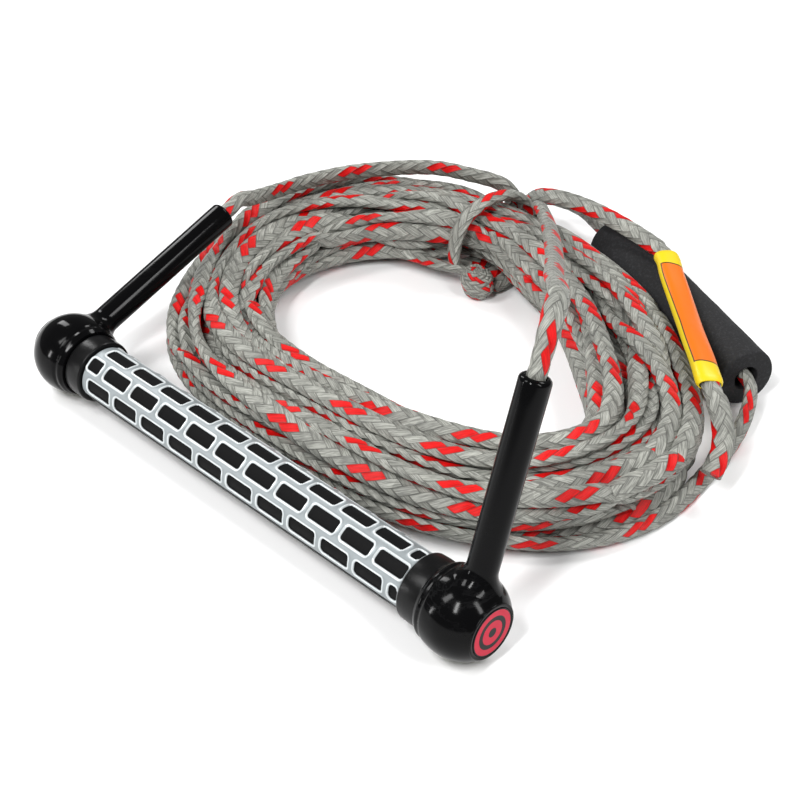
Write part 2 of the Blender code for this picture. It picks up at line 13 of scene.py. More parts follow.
import bpy
import numpy as np
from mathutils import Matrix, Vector


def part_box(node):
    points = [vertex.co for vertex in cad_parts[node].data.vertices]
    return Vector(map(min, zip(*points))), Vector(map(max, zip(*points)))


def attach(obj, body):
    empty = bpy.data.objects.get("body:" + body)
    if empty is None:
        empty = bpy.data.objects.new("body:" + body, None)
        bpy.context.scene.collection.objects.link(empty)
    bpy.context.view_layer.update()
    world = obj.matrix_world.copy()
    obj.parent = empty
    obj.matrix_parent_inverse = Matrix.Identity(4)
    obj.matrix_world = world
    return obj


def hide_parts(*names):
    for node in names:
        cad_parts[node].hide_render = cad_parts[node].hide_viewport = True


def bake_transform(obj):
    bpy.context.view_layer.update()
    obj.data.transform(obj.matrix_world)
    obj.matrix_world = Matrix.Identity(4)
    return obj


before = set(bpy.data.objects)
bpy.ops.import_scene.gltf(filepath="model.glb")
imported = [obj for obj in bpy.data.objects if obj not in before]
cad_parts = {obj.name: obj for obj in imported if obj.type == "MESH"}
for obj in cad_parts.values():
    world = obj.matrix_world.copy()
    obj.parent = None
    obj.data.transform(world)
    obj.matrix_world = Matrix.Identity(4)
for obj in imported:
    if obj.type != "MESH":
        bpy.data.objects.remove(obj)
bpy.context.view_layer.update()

LOG = logging.getLogger("tow_rope_handle")
UP = np.array([0.0, 0.0, 1.0])
TAU = 2.0 * math.pi
Array = np.ndarray
Point = tuple[float, float, float]


def bar_origin() -> Array:
    """The point on the surface straight under the middle of the bar, from the bar's tube."""
    low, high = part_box("bar_tube")
    return np.array([(low[0] + high[0]) / 2, (low[1] + high[1]) / 2, 0.0])


BAR_ORIGIN = bar_origin()
BAR_HEIGHT = float(sum(np.array(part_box("bar_tube"))[:, 2]) / 2)
ARM_X = 0.1465
ARM_REACH = 0.1180


def placed(points: Sequence[Point]) -> Array:
    """Route points measured from under the bar, as points of the frame."""
    return np.array(points, dtype=float) + BAR_ORIGIN


def unit(vectors: Array) -> Array:
    """Vectors divided by their length, along the last axis."""
    return vectors / np.maximum(np.linalg.norm(vectors, axis=-1, keepdims=True), 1e-12)


def smoothstep(values: Array) -> Array:
    """The cubic step 3t^2 - 2t^3 of values clipped to 0..1."""
    t = np.clip(values, 0.0, 1.0)
    return t * t * (3.0 - 2.0 * t)


# ------------------------------------------------------------------------------------------
# Meshes
# ------------------------------------------------------------------------------------------
@dataclass
class Grid:
    """A surface of rows by columns of points, closed round its columns, with one UV pair for each.

    Attributes:
        points: rows x columns x 3 places.
        uv: rows x columns x 2 pattern coordinates. A wrapped direction carries one more row or
            column, so that the pattern runs on across the seam.
        wrap_rows: the last row joins the first.
        cap_ends: the first and last rows are closed with one face each.
        marks: named values for each point, such as a signed distance that a material reads.
    """

    points: Array
    uv: Optional[Array] = None
    wrap_rows: bool = False
    cap_ends: bool = False
    marks: dict[str, Array] = field(default_factory=dict)

    def faces(self) -> tuple[Array, Array]:
        """Four corners a face, as point numbers and as (row, column) numbers before wrapping."""
        rows, columns = self.points.shape[:2]
        row_count = rows if self.wrap_rows else rows - 1
        r, c = np.meshgrid(np.arange(row_count), np.arange(columns), indexing="ij")
        corner_rows = np.stack([r, r, r + 1, r + 1], axis=-1).reshape(-1, 4)
        corner_columns = np.stack([c, c + 1, c + 1, c], axis=-1).reshape(-1, 4)
        numbers = (corner_rows % rows) * columns + corner_columns % columns
        return numbers, np.stack([corner_rows, corner_columns], axis=-1)


def build_piece(name: str, grids: Sequence[Grid]) -> bpy.types.Object:
    """Puts grids into one smooth mesh object at the origin.

    Args:
        name: the piece's name.
        grids: its surfaces, each closed.
    Returns:
        The new object, linked to the scene.
    """
    places, loops, sizes, uvs, marks = [], [], [], [], {}
    start = 0
    for grid in grids:
        rows, columns = grid.points.shape[:2]
        numbers, corners = grid.faces()
        places.append(grid.points.reshape(-1, 3))
        loops.append((numbers + start).ravel())
        sizes.append(np.full(len(numbers), 4))
        uv = grid.uv if grid.uv is not None else np.zeros((rows + 1, columns + 1, 2))
        limit = np.array(uv.shape[:2]) - 1
        picked = np.minimum(corners, limit).reshape(-1, 2)
        uvs.append(uv[picked[:, 0], picked[:, 1]])
        for key in grid.marks:
            marks.setdefault(key, np.zeros(0))
        if grid.cap_ends:
            first = np.arange(columns)[::-1] + start
            last = np.arange(columns) + start + (rows - 1) * columns
            loops += [first, last]
            sizes.append(np.array([columns, columns]))
            uvs += [uv[0, :columns][::-1], uv[min(rows - 1, len(uv) - 1), :columns]]
        start += rows * columns
    for key in marks:
        values = [grid.marks.get(key, np.zeros(grid.points.shape[:2])).ravel() for grid in grids]
        marks[key] = np.concatenate(values)
    mesh = bpy.data.meshes.new(name)
    vertices, corner_list, face_sizes = np.concatenate(places), np.concatenate(loops), np.concatenate(sizes)
    mesh.vertices.add(len(vertices))
    mesh.vertices.foreach_set("co", vertices.astype(np.float32).ravel())
    mesh.loops.add(len(corner_list))
    mesh.loops.foreach_set("vertex_index", corner_list.astype(np.int32))
    mesh.polygons.add(len(face_sizes))
    face_starts = np.concatenate([[0], np.cumsum(face_sizes)[:-1]])
    mesh.polygons.foreach_set("loop_start", face_starts.astype(np.int32))
    layer = mesh.uv_layers.new(name="pattern")
    layer.uv.foreach_set("vector", np.concatenate(uvs).astype(np.float32).ravel())
    for key, values in marks.items():
        mesh.attributes.new(key, "FLOAT", "POINT").data.foreach_set("value", values.astype(np.float32))
    mesh.update(calc_edges=True)
    mesh.validate()
    mesh.shade_smooth()
    mesh.set_sharp_from_angle(angle=math.radians(50))
    piece = bpy.data.objects.new(name, mesh)
    bpy.context.scene.collection.objects.link(piece)
    return piece


def turned_grid(profile: Array, centre: Array, axis: Array, side: Array, sides: int = 96,
                ring: bool = False) -> Grid:
    """A surface of revolution: point = centre + axis * height + (side cos a + cross sin a) * radius.

    Args:
        profile: n x 2 pairs of radius and height. Where it ends on the axis, the pole is closed
            by a ring too small to see.
        centre: the point that heights are measured from.
        axis: the axis, a unit vector. Heights fall along the profile for faces that point out.
        side: a unit vector square to the axis, where the angle is 0.
        sides: columns round the axis.
        ring: the profile is a closed loop, clear of the axis.
    Returns:
        The grid, its UV the share of the profile's length and of the turn.
    """
    radius = np.maximum(profile[:, 0], 1e-5)[:, None, None]
    height = profile[:, 1][:, None, None]
    angle = np.linspace(0, TAU, sides, endpoint=False)[None, :, None]
    cross = np.cross(axis, side)
    points = centre + axis * height - radius * (side * np.cos(angle) - cross * np.sin(angle))
    along = np.concatenate([[0], np.cumsum(np.linalg.norm(np.diff(profile, axis=0), axis=1))])
    uv = np.stack(np.meshgrid(along, np.linspace(0, 1, sides + 1), indexing="ij"), axis=-1)
    return Grid(points, uv, wrap_rows=ring, cap_ends=not ring)


def arc(centre: tuple[float, float], radius: float, start: float, stop: float, count: int = 8) -> Array:
    """Points on an arc of a profile, from one angle to another in degrees."""
    angle = np.radians(np.linspace(start, stop, count))
    return np.stack([centre[0] + radius * np.cos(angle), centre[1] + radius * np.sin(angle)], axis=-1)


def refine(points: Array, spacing: float) -> Array:
    """Points an even distance apart on the Catmull-Rom curve through the given points.

    Each span is the cubic 0.5 (2b + (c-a) t + (2a-5b+4c-d) t^2 + (3b-a-3c+d) t^3) of its two
    points b, c and their neighbours a, d.
    """
    padded = np.vstack([2 * points[0] - points[1], points, 2 * points[-1] - points[-2]])
    a, b, c, d = (padded[i:len(padded) - 3 + i, None, :] for i in range(4))
    t = np.linspace(0, 1, 24, endpoint=False)[None, :, None]
    square, cube = 2 * a - 5 * b + 4 * c - d, 3 * b - a - 3 * c + d
    curve = 0.5 * (2 * b + (c - a) * t + square * t ** 2 + cube * t ** 3)
    fine = np.vstack([curve.reshape(-1, points.shape[1]), points[-1:]])
    along = path_length(fine[:, :3])
    even = np.linspace(0, along[-1], max(2, int(round(along[-1] / spacing)) + 1))
    return np.stack([np.interp(even, along, fine[:, i]) for i in range(points.shape[1])], axis=-1)


def path_length(points: Array) -> Array:
    """The distance travelled along a path, at each of its points."""
    return np.concatenate([[0], np.cumsum(np.linalg.norm(np.diff(points, axis=0), axis=1))])


def nearest_point(points: Array, place: Sequence[float]) -> int:
    """The number of the point that is nearest to a place."""
    return int(np.argmin(np.linalg.norm(points - np.array(place), axis=1)))


def hanning(count: int) -> Array:
    """A bell-shaped averaging window whose values add up to 1."""
    return np.hanning(count) / np.hanning(count).sum()


def softened(values: Array, passes: int) -> Array:
    """Values averaged with their two neighbours along the first axis, ends kept."""
    for _ in range(passes):
        values = values.copy()
        values[1:-1] = 0.25 * values[:-2] + 0.5 * values[1:-1] + 0.25 * values[2:]
    return values


# ------------------------------------------------------------------------------------------
# Shader node groups
# ------------------------------------------------------------------------------------------
class Sheet:
    """A node tree that is written by short calls: each returns a socket."""

    def __init__(self, tree: bpy.types.NodeTree) -> None:
        """Starts on an empty tree."""
        self.tree = tree
        tree.nodes.clear()

    def node(self, kind: str, **values: object) -> bpy.types.Node:
        """Adds a node of the kind and sets its named properties."""
        made = self.tree.nodes.new(kind)
        for key, value in values.items():
            setattr(made, key, value)
        return made

    def feed(self, socket: bpy.types.NodeSocket, value: object) -> None:
        """Links a socket to an input, or sets the input's own value."""
        if isinstance(value, bpy.types.NodeSocket):
            self.tree.links.new(value, socket)
        elif value is not None:
            socket.default_value = value

    def math(self, operation: str, a: object, b: object = None, c: object = None) -> bpy.types.NodeSocket:
        """A Math node of up to three values."""
        made = self.node("ShaderNodeMath", operation=operation)
        for socket, value in zip(made.inputs, (a, b, c)):
            self.feed(socket, value)
        return made.outputs[0]

    def ramp(self, value: object, low: float, high: float) -> bpy.types.NodeSocket:
        """A smooth step from 0, where the value is low, to 1, where it is high."""
        made = self.node("ShaderNodeMapRange", interpolation_type="SMOOTHSTEP")
        for socket, given in zip(made.inputs, (value, low, high)):
            self.feed(socket, given)
        return made.outputs[0]

    def mix(self, share: object, first: object, second: object) -> bpy.types.NodeSocket:
        """A mix of two colours."""
        made = self.node("ShaderNodeMix", data_type="RGBA")
        for key, value in (("Factor", share), ("A", first), ("B", second)):
            sockets = [s for s in made.inputs if s.name == key and (s.type == "RGBA" or key == "Factor")]
            self.feed(sockets[0], value)
        return [s for s in made.outputs if s.type == "RGBA"][0]

    def noise(self, vector: object, scale: float, detail: float = 2.0, roughness: float = 0.5) -> object:
        """A Noise texture's value."""
        made = self.node("ShaderNodeTexNoise")
        given = {"Vector": vector, "Scale": scale, "Detail": detail, "Roughness": roughness}
        for key, value in given.items():
            self.feed(made.inputs[key], value)
        return made.outputs[0]

    def stretch(self, vector: object, scale: Point) -> bpy.types.NodeSocket:
        """A vector multiplied by three factors."""
        made = self.node("ShaderNodeVectorMath", operation="MULTIPLY")
        self.feed(made.inputs[0], vector)
        self.feed(made.inputs[1], scale)
        return made.outputs[0]

    def combine(self, x: object, y: object, z: object = 0.0) -> bpy.types.NodeSocket:
        """A vector of three values."""
        made = self.node("ShaderNodeCombineXYZ")
        for socket, value in zip(made.inputs, (x, y, z)):
            self.feed(socket, value)
        return made.outputs[0]

    def white(self, vector: object) -> bpy.types.NodeSocket:
        """One random value for each whole vector."""
        made = self.node("ShaderNodeTexWhiteNoise", noise_dimensions="3D")
        self.feed(made.inputs["Vector"], vector)
        return made.outputs["Value"]

    def separate(self, vector: object) -> Sequence[bpy.types.NodeSocket]:
        """The three parts of a vector."""
        made = self.node("ShaderNodeSeparateXYZ")
        self.feed(made.inputs[0], vector)
        return made.outputs

    def bump(self, height: object, strength: float, distance: float) -> bpy.types.NodeSocket:
        """A Bump node's normal."""
        made = self.node("ShaderNodeBump")
        made.inputs["Strength"].default_value = strength
        made.inputs["Distance"].default_value = distance
        self.feed(made.inputs["Height"], height)
        return made.outputs["Normal"]

    def group(self, tree: bpy.types.NodeTree, **values: object) -> bpy.types.Node:
        """Places a node group and feeds its named inputs."""
        made = self.node("ShaderNodeGroup", node_tree=tree)
        for key, value in values.items():
            self.feed(made.inputs[key], value)
        return made


def new_group(name: str, inputs: Sequence[tuple[str, str, object]], outputs: Sequence[str],
              write: Callable[[Sheet, bpy.types.Node], dict[str, object]]) -> bpy.types.NodeTree:
    """Builds a shader node group.

    Args:
        name: the group's name.
        inputs: name, socket type and default value of each input.
        outputs: names of the float outputs.
        write: fills the sheet from the input node, and returns a socket for each output.
    Returns:
        The group.
    """
    tree = bpy.data.node_groups.new(name, "ShaderNodeTree")
    for label, kind, value in inputs:
        socket = tree.interface.new_socket(name=label, in_out="INPUT", socket_type=kind)
        if value is not None:
            socket.default_value = value
    for label in outputs:
        tree.interface.new_socket(name=label, in_out="OUTPUT", socket_type="NodeSocketFloat")
    sheet = Sheet(tree)
    given = sheet.node("NodeGroupInput")
    results = write(sheet, given)
    out = sheet.node("NodeGroupOutput")
    for label, socket in results.items():
        sheet.feed(out.inputs[label], socket)
    return tree


def write_braid(sheet: Sheet, given: bpy.types.Node) -> dict[str, object]:
    """The braid: two sets of strands, each passing over two and under two of the other.

    With c strands of a set round the rope, P = c v + u and Q = c v - u number the strands of the
    two sets at a place (u, v), and set P is on top where floor P + floor Q, modulo 4, is under 2.
    Along a stitch the top strand rises and dips once, and across it is round.
    """
    u, v, _ = sheet.separate(given.outputs["Place"])
    round_rope = sheet.math("MULTIPLY", v, given.outputs["Strands"])
    p = sheet.math("ADD", round_rope, u)
    q = sheet.math("SUBTRACT", round_rope, u)
    floor_p, floor_q = sheet.math("FLOOR", p), sheet.math("FLOOR", q)
    part_p, part_q = sheet.math("SUBTRACT", p, floor_p), sheet.math("SUBTRACT", q, floor_q)
    phase = sheet.math("FLOORED_MODULO", sheet.math("ADD", floor_p, floor_q), 4.0)
    p_top = sheet.math("LESS_THAN", phase, 1.5)

    def choose(on_p: object, on_q: object) -> object:
        """The first value where set P is on top, and the second elsewhere."""
        return sheet.math("MULTIPLY_ADD", p_top, sheet.math("SUBTRACT", on_p, on_q), on_q)

    across = choose(part_p, part_q)
    step = sheet.math("SUBTRACT", phase, choose(0.0, 2.0))
    along = sheet.math("MULTIPLY", sheet.math("ADD", step, choose(part_q, part_p)), 0.5)
    centred = sheet.math("MULTIPLY_ADD", across, 2.0, -1.0)
    crown = sheet.math("SUBTRACT", 1.0, sheet.math("POWER", sheet.math("ABSOLUTE", centred), 2.4))
    rise = sheet.math("SINE", sheet.math("MULTIPLY", along, math.pi))
    height = sheet.math("MULTIPLY", crown, sheet.math("POWER", sheet.math("MAXIMUM", rise, 0.0), 0.45))
    strand = choose(floor_p, floor_q)
    ring = sheet.math("FLOORED_MODULO", strand, given.outputs["Strands"])
    red = choose(sheet.math("LESS_THAN", ring, 1.5), 0.0)
    fibre_place = sheet.combine(sheet.math("MULTIPLY", across, 9.0), sheet.math("MULTIPLY", along, 1.4),
                                sheet.math("MULTIPLY", strand, 3.7))
    fibres = sheet.noise(fibre_place, 1.0, 3.0, 0.65)
    stitch = sheet.white(sheet.combine(strand, sheet.math("FLOOR", sheet.math("MULTIPLY", u, 0.5)), p_top))
    return {"Height": height, "Red": red, "Fibres": fibres, "Stitch": stitch}


def write_grain(sheet: Sheet, given: bpy.types.Node) -> dict[str, object]:
    """Fine surface grain: two noises of different size, and a broad mottle."""
    place, scale = given.outputs["Place"], given.outputs["Scale"]
    fine = sheet.noise(place, scale, 4.0, 0.6)
    coarse = sheet.noise(place, sheet.math("MULTIPLY", scale, 0.12), 2.0, 0.5)
    return {"Fine": fine, "Mottle": coarse}


def write_wear(sheet: Sheet, given: bpy.types.Node) -> dict[str, object]:
    """Scuffs: thin streaks where a stretched noise is near its middle value, in patches."""
    place, scale = given.outputs["Place"], given.outputs["Scale"]
    streak = sheet.noise(sheet.stretch(place, (1.0, 0.35, 2.6)), scale, 5.0, 0.7)
    near = sheet.math("ABSOLUTE", sheet.math("SUBTRACT", streak, 0.5))
    scuffs = sheet.ramp(near, 0.035, 0.0)
    patches = sheet.ramp(sheet.noise(place, sheet.math("MULTIPLY", scale, 0.2), 2.0), 0.5, 0.7)
    return {"Scuffs": sheet.math("MULTIPLY", scuffs, patches)}


PLACE_AND_SCALE = (("Place", "NodeSocketVector", None), ("Scale", "NodeSocketFloat", 100.0))
PLACE_AND_STRANDS = (("Place", "NodeSocketVector", None), ("Strands", "NodeSocketFloat", 6.0))


class Groups:
    """The node groups that several finishes share, each built once."""

    def __init__(self) -> None:
        """Builds the braid, grain and wear groups."""
        braid_outputs = ("Height", "Red", "Fibres", "Stitch")
        self.braid = new_group("braid", PLACE_AND_STRANDS, braid_outputs, write_braid)
        self.grain = new_group("grain", PLACE_AND_SCALE, ("Fine", "Mottle"), write_grain)
        self.wear = new_group("wear", PLACE_AND_SCALE, ("Scuffs",), write_wear)


GROUPS = Groups()
Colour = tuple[float, float, float, float]


def scaled(colour: Colour, factor: float) -> Colour:
    """A colour made darker or paler by a factor, none of its parts past 1."""
    return tuple(min(1.0, factor * part) for part in colour[:3]) + (1.0,)


@dataclass(frozen=True)
class Finish:
    """One finish: its name and the plain values of its Principled shader.

    Attributes:
        name: the material's name.
        colour: its main colour.
        roughness: its main roughness.
        metallic: 1 for bare metal.
        specular: its Specular IOR Level.
    """

    name: str
    colour: Colour
    roughness: float = 0.5
    metallic: float = 0.0
    specular: float = 0.5

    def material(self) -> bpy.types.Material:
        """The finished material, built the first time that it is asked for."""
        found = bpy.data.materials.get(self.name)
        if found:
            return found
        made = bpy.data.materials.new(self.name)
        made.use_nodes = True
        sheet = Sheet(made.node_tree)
        shader = sheet.node("ShaderNodeBsdfPrincipled")
        shader.inputs["Base Color"].default_value = self.colour
        shader.inputs["Roughness"].default_value = self.roughness
        shader.inputs["Metallic"].default_value = self.metallic
        shader.inputs["Specular IOR Level"].default_value = self.specular
        output = sheet.node("ShaderNodeOutputMaterial")
        sheet.tree.links.new(shader.outputs[0], output.inputs["Surface"])
        self.write(sheet, shader)
        return made

    def object_place(self, sheet: Sheet) -> bpy.types.NodeSocket:
        """Object coordinates."""
        return sheet.node("ShaderNodeTexCoord").outputs["Object"]

    def pattern_place(self, sheet: Sheet) -> bpy.types.NodeSocket:
        """The piece's own UV map."""
        return sheet.node("ShaderNodeUVMap", uv_map="pattern").outputs["UV"]

    def mark(self, sheet: Sheet, name: str) -> bpy.types.NodeSocket:
        """A named value of the mesh."""
        return sheet.node("ShaderNodeAttribute", attribute_name=name).outputs["Fac"]

    def grain(self, sheet: Sheet, scale: float) -> Sequence[bpy.types.NodeSocket]:
        """The grain group's outputs, Fine and Mottle, at a scale."""
        return sheet.group(GROUPS.grain, Place=self.object_place(sheet), Scale=scale).outputs

    def roughen(self, sheet: Sheet, shader: bpy.types.Node, pattern: object, amount: float,
                base: object) -> None:
        """Sets the roughness to a base value plus an amount of a pattern."""
        sheet.feed(shader.inputs["Roughness"], sheet.math("MULTIPLY_ADD", pattern, amount, base))

    def write(self, sheet: Sheet, shader: bpy.types.Node) -> None:
        """Feeds the shader with mottled colour, roughness and grain."""
        grain = self.grain(sheet, 900.0)
        darker = scaled(self.colour, 0.8)
        sheet.feed(shader.inputs["Base Color"], sheet.mix(grain["Mottle"], darker, self.colour))
        self.roughen(sheet, shader, grain["Fine"], 0.15, self.roughness - 0.07)
        sheet.feed(shader.inputs["Normal"], sheet.bump(grain["Fine"], 0.25, 0.0002))


@dataclass(frozen=True)
class GlossMoulding(Finish):
    """Glossy moulded black with faint flow marks, scuffs and a painted olive reflection low down."""

    # Painted reflection: an olive colour low on the cap, up to a height.
    painted_reflection_colour: Colour = (0.045, 0.042, 0.003, 1.0)
    painted_reflection_height: float = 0.010
    scuffed: Colour = (0.05, 0.05, 0.052, 1.0)

    def write(self, sheet: Sheet, shader: bpy.types.Node) -> None:
        """Colour by height, a painted olive reflection low down; roughness by scuffs, a faint orange-peel
        bump.
        """
        place = self.object_place(sheet)
        wear = sheet.group(GROUPS.wear, Place=place, Scale=60.0)
        grain = self.grain(sheet, 500.0)
        # Painted olive reflection: the colour turns olive below a height.
        low = sheet.ramp(sheet.separate(place)[2], self.painted_reflection_height, 0.0)
        reflection_tinted = sheet.mix(low, self.colour, self.painted_reflection_colour)
        worn = sheet.mix(sheet.math("MULTIPLY", wear.outputs["Scuffs"], 0.10), reflection_tinted, self.scuffed)
        sheet.feed(shader.inputs["Base Color"], worn)
        rough = sheet.math("MULTIPLY_ADD", wear.outputs["Scuffs"], 0.06, self.roughness)
        self.roughen(sheet, shader, grain["Mottle"], 0.05, rough)
        sheet.feed(shader.inputs["Normal"], sheet.bump(grain["Mottle"], 0.025, 0.001))


@dataclass(frozen=True)
class BraidedRope(Finish):
    """Braided rope yarn: grey strands with red ones, each stitch a little different."""

    red: Colour = (0.66, 0.0025, 0.0025, 1.0)
    dark: Colour = (0.05, 0.05, 0.045, 1.0)
    # Painted shade: a near-black colour laid where the strands dip between stitches.
    crease_shade: Colour = (0.03, 0.03, 0.027, 1.0)

    def write(self, sheet: Sheet, shader: bpy.types.Node) -> None:
        """Grey or red by strand, toned by fibre and stitch, with painted shade where strands dip."""
        braid = sheet.group(GROUPS.braid, Place=self.pattern_place(sheet), Strands=6.0)
        out = braid.outputs
        grey = sheet.mix(sheet.ramp(out["Fibres"], 0.36, 0.64), self.colour, scaled(self.colour, 2.3))
        grey = sheet.mix(sheet.math("MULTIPLY", out["Stitch"], 0.36), grey, self.dark)
        red = sheet.mix(sheet.ramp(out["Fibres"], 0.3, 0.7), scaled(self.red, 0.6), self.red)
        yarn = sheet.mix(out["Red"], grey, red)
        # Painted shade: darker where the braid's height is low, in the dips between stitches.
        crease_shade = sheet.ramp(out["Height"], 0.30, 0.0)
        crease_shaded = sheet.mix(sheet.math("MULTIPLY", crease_shade, 0.62), yarn, self.crease_shade)
        sheet.feed(shader.inputs["Base Color"], crease_shaded)
        self.roughen(sheet, shader, out["Fibres"], 0.2, self.roughness)
        relief = sheet.math("MULTIPLY_ADD", out["Fibres"], 0.22, out["Height"])
        sheet.feed(shader.inputs["Normal"], sheet.bump(relief, 0.95, 0.0009))


@dataclass(frozen=True)
class RaisedLattice(Finish):
    """Silver lattice over black cells, told apart by the mesh's signed distance to a cell's edge."""

    cell: Colour = (0.0025, 0.0025, 0.0028, 1.0)
    # Painted highlight: a paler colour on the rim round each cell.
    rim: Colour = (0.66, 0.70, 0.71, 1.0)
    dull: Colour = (0.3, 0.31, 0.32, 1.0)
    cell_roughness: float = 0.55

    def write(self, sheet: Sheet, shader: bpy.types.Node) -> None:
        """Black inside a cell, a painted highlight on the rim round it, satin silver between rims."""
        distance = self.mark(sheet, "edge_mm")
        grain = self.grain(sheet, 1400.0)
        outside = sheet.ramp(distance, -0.12, 0.12)
        # Painted highlight: the rim round each cell is paler than the silver between rims.
        near = sheet.ramp(sheet.math("ABSOLUTE", sheet.math("SUBTRACT", distance, 0.55)), 0.75, 0.25)
        silver = sheet.mix(near, self.colour, self.rim)
        shaded = sheet.mix(sheet.math("MULTIPLY", grain["Mottle"], 0.35), silver, self.dull)
        sheet.feed(shader.inputs["Base Color"], sheet.mix(outside, self.cell, shaded))
        sheet.feed(shader.inputs["Metallic"], sheet.math("MULTIPLY", outside, self.metallic))
        sheet.feed(shader.inputs["Specular IOR Level"], sheet.math("MULTIPLY_ADD", outside, 0.4, 0.1))
        smoother = self.roughness - self.cell_roughness
        rough = sheet.math("MULTIPLY_ADD", outside, smoother, self.cell_roughness)
        self.roughen(sheet, shader, grain["Fine"], 0.12, rough)
        sheet.feed(shader.inputs["Normal"], sheet.bump(grain["Fine"], 0.2, 0.00015))


@dataclass(frozen=True)
class ClosedCellFoam(Finish):
    """Cut foam: a felt-like matte face of tiny open cells."""

    def write(self, sheet: Sheet, shader: bpy.types.Node) -> None:
        """Speckled colour and a bump of small cells."""
        cells = sheet.node("ShaderNodeTexVoronoi", feature="F1")
        sheet.feed(cells.inputs["Vector"], self.object_place(sheet))
        cells.inputs["Scale"].default_value = 1500.0
        grain = self.grain(sheet, 700.0)
        speck = sheet.ramp(grain["Fine"], 0.45, 0.75)
        sheet.feed(shader.inputs["Base Color"], sheet.mix(speck, self.colour, scaled(self.colour, 2.4)))
        self.roughen(sheet, shader, grain["Fine"], 0.1, self.roughness)
        relief = sheet.math("ADD", cells.outputs["Distance"], grain["Mottle"])
        sheet.feed(shader.inputs["Normal"], sheet.bump(relief, 0.35, 0.0003))


@dataclass(frozen=True)
class PrintedVinyl(Finish):
    """Shrink sleeve: yellow with an orange face inside a thin dark line, told by the UV map.

    U runs from 0 to 1 along the sleeve and V round it, with the middle of the face at 0.25.
    """

    face: Colour = (0.72, 0.135, 0.002, 1.0)
    line: Colour = (0.03, 0.014, 0.004, 1.0)
    faded: Colour = (0.35, 0.16, 0.02, 1.0)
    band: float = 0.105
    face_half: float = 0.185
    line_width: float = 0.024

    def write(self, sheet: Sheet, shader: bpy.types.Node) -> None:
        """Distance inside the face's rectangle chooses yellow, line or orange."""
        u, v, _ = sheet.separate(self.pattern_place(sheet))
        off_middle = sheet.math("ABSOLUTE", sheet.math("SUBTRACT", u, 0.5))
        along = sheet.math("SUBTRACT", 0.5 - self.band, off_middle)
        around = sheet.math("ABSOLUTE", sheet.math("SUBTRACT", v, 0.25))
        across = sheet.math("SUBTRACT", self.face_half, around)
        inside = sheet.math("MINIMUM", sheet.math("MULTIPLY", along, 3.0), across)
        on_line = sheet.ramp(inside, 0.0, 0.004)
        on_face = sheet.ramp(inside, self.line_width, self.line_width + 0.004)
        grain = self.grain(sheet, 300.0)
        colour = sheet.mix(on_face, sheet.mix(on_line, self.colour, self.line), self.face)
        printed = sheet.mix(sheet.math("MULTIPLY", grain["Mottle"], 0.18), colour, self.faded)
        sheet.feed(shader.inputs["Base Color"], printed)
        self.roughen(sheet, shader, grain["Fine"], 0.1, self.roughness)
        sheet.feed(shader.inputs["Normal"], sheet.bump(grain["Mottle"], 0.3, 0.0008))


@dataclass(frozen=True)
class RingBadge(Finish):
    """A black disc with two plain printed rings, by the distance from its middle in the UV map."""

    print_colour: Colour = (0.55, 0.012, 0.042, 1.0)
    thin_ink: Colour = (0.42, 0.008, 0.030, 1.0)
    ring: tuple[float, float] = (0.0086, 0.0116)
    inner_ring: tuple[float, float] = (0.0024, 0.0062)

    def write(self, sheet: Sheet, shader: bpy.types.Node) -> None:
        """A ring where the radius is between two values."""
        radius = sheet.separate(self.pattern_place(sheet))[0]
        edge = 0.0001
        rings = [sheet.math("MULTIPLY", sheet.ramp(radius, low, low + edge),
                            sheet.ramp(radius, high + edge, high))
                 for low, high in (self.ring, self.inner_ring)]
        printed = sheet.math("MAXIMUM", *rings)
        grain = self.grain(sheet, 800.0)
        ink = sheet.mix(grain["Mottle"], self.thin_ink, self.print_colour)
        sheet.feed(shader.inputs["Base Color"], sheet.mix(printed, self.colour, ink))
        self.roughen(sheet, shader, grain["Fine"], 0.1, self.roughness)


@dataclass(frozen=True)
class BrushedMetal(Finish):
    """Drawn aluminium: fine lines along the tube."""

    def write(self, sheet: Sheet, shader: bpy.types.Node) -> None:
        """Roughness and bump from noise stretched along the bar."""
        lines = sheet.noise(sheet.stretch(self.object_place(sheet), (20.0, 1500.0, 1500.0)), 1.0, 3.0)
        self.roughen(sheet, shader, lines, 0.25, self.roughness - 0.1)
        sheet.feed(shader.inputs["Base Color"], sheet.mix(lines, (0.62, 0.62, 0.64, 1.0), self.colour))
        sheet.feed(shader.inputs["Normal"], sheet.bump(lines, 0.15, 0.0001))


GLOSS_BLACK = GlossMoulding("gloss_black_moulding", (0.002, 0.002, 0.0022, 1.0), 0.09, specular=0.09)
SATIN_BLACK = Finish("satin_black_collar", (0.004, 0.004, 0.0042, 1.0), 0.30, specular=0.16)
GRIP_RUBBER = Finish("black_grip_rubber", (0.004, 0.004, 0.0045, 1.0), 0.45, specular=0.16)
LATTICE = RaisedLattice("silver_lattice", (0.235, 0.265, 0.275, 1.0), 0.36, metallic=0.30)
ROPE = BraidedRope("braided_rope", (0.165, 0.167, 0.150, 1.0), 0.42, specular=0.26)
FLOAT_FOAM = ClosedCellFoam("charcoal_foam", (0.010, 0.010, 0.011, 1.0), 0.75, specular=0.3)
CORE_FOAM = ClosedCellFoam("white_core_foam", (0.30, 0.30, 0.29, 1.0), 0.85)
SLEEVE_VINYL = PrintedVinyl("printed_sleeve_vinyl", (0.70, 0.53, 0.006, 1.0), 0.34, specular=0.3)
BADGE = RingBadge("ring_badge", (0.004, 0.004, 0.0045, 1.0), 0.25, specular=0.12)
TUBE_METAL = BrushedMetal("drawn_aluminium", (0.78, 0.78, 0.8, 1.0), 0.35, metallic=1.0)
WHITE_PLASTIC = Finish("white_plastic", (0.62, 0.62, 0.61, 1.0), 0.4)


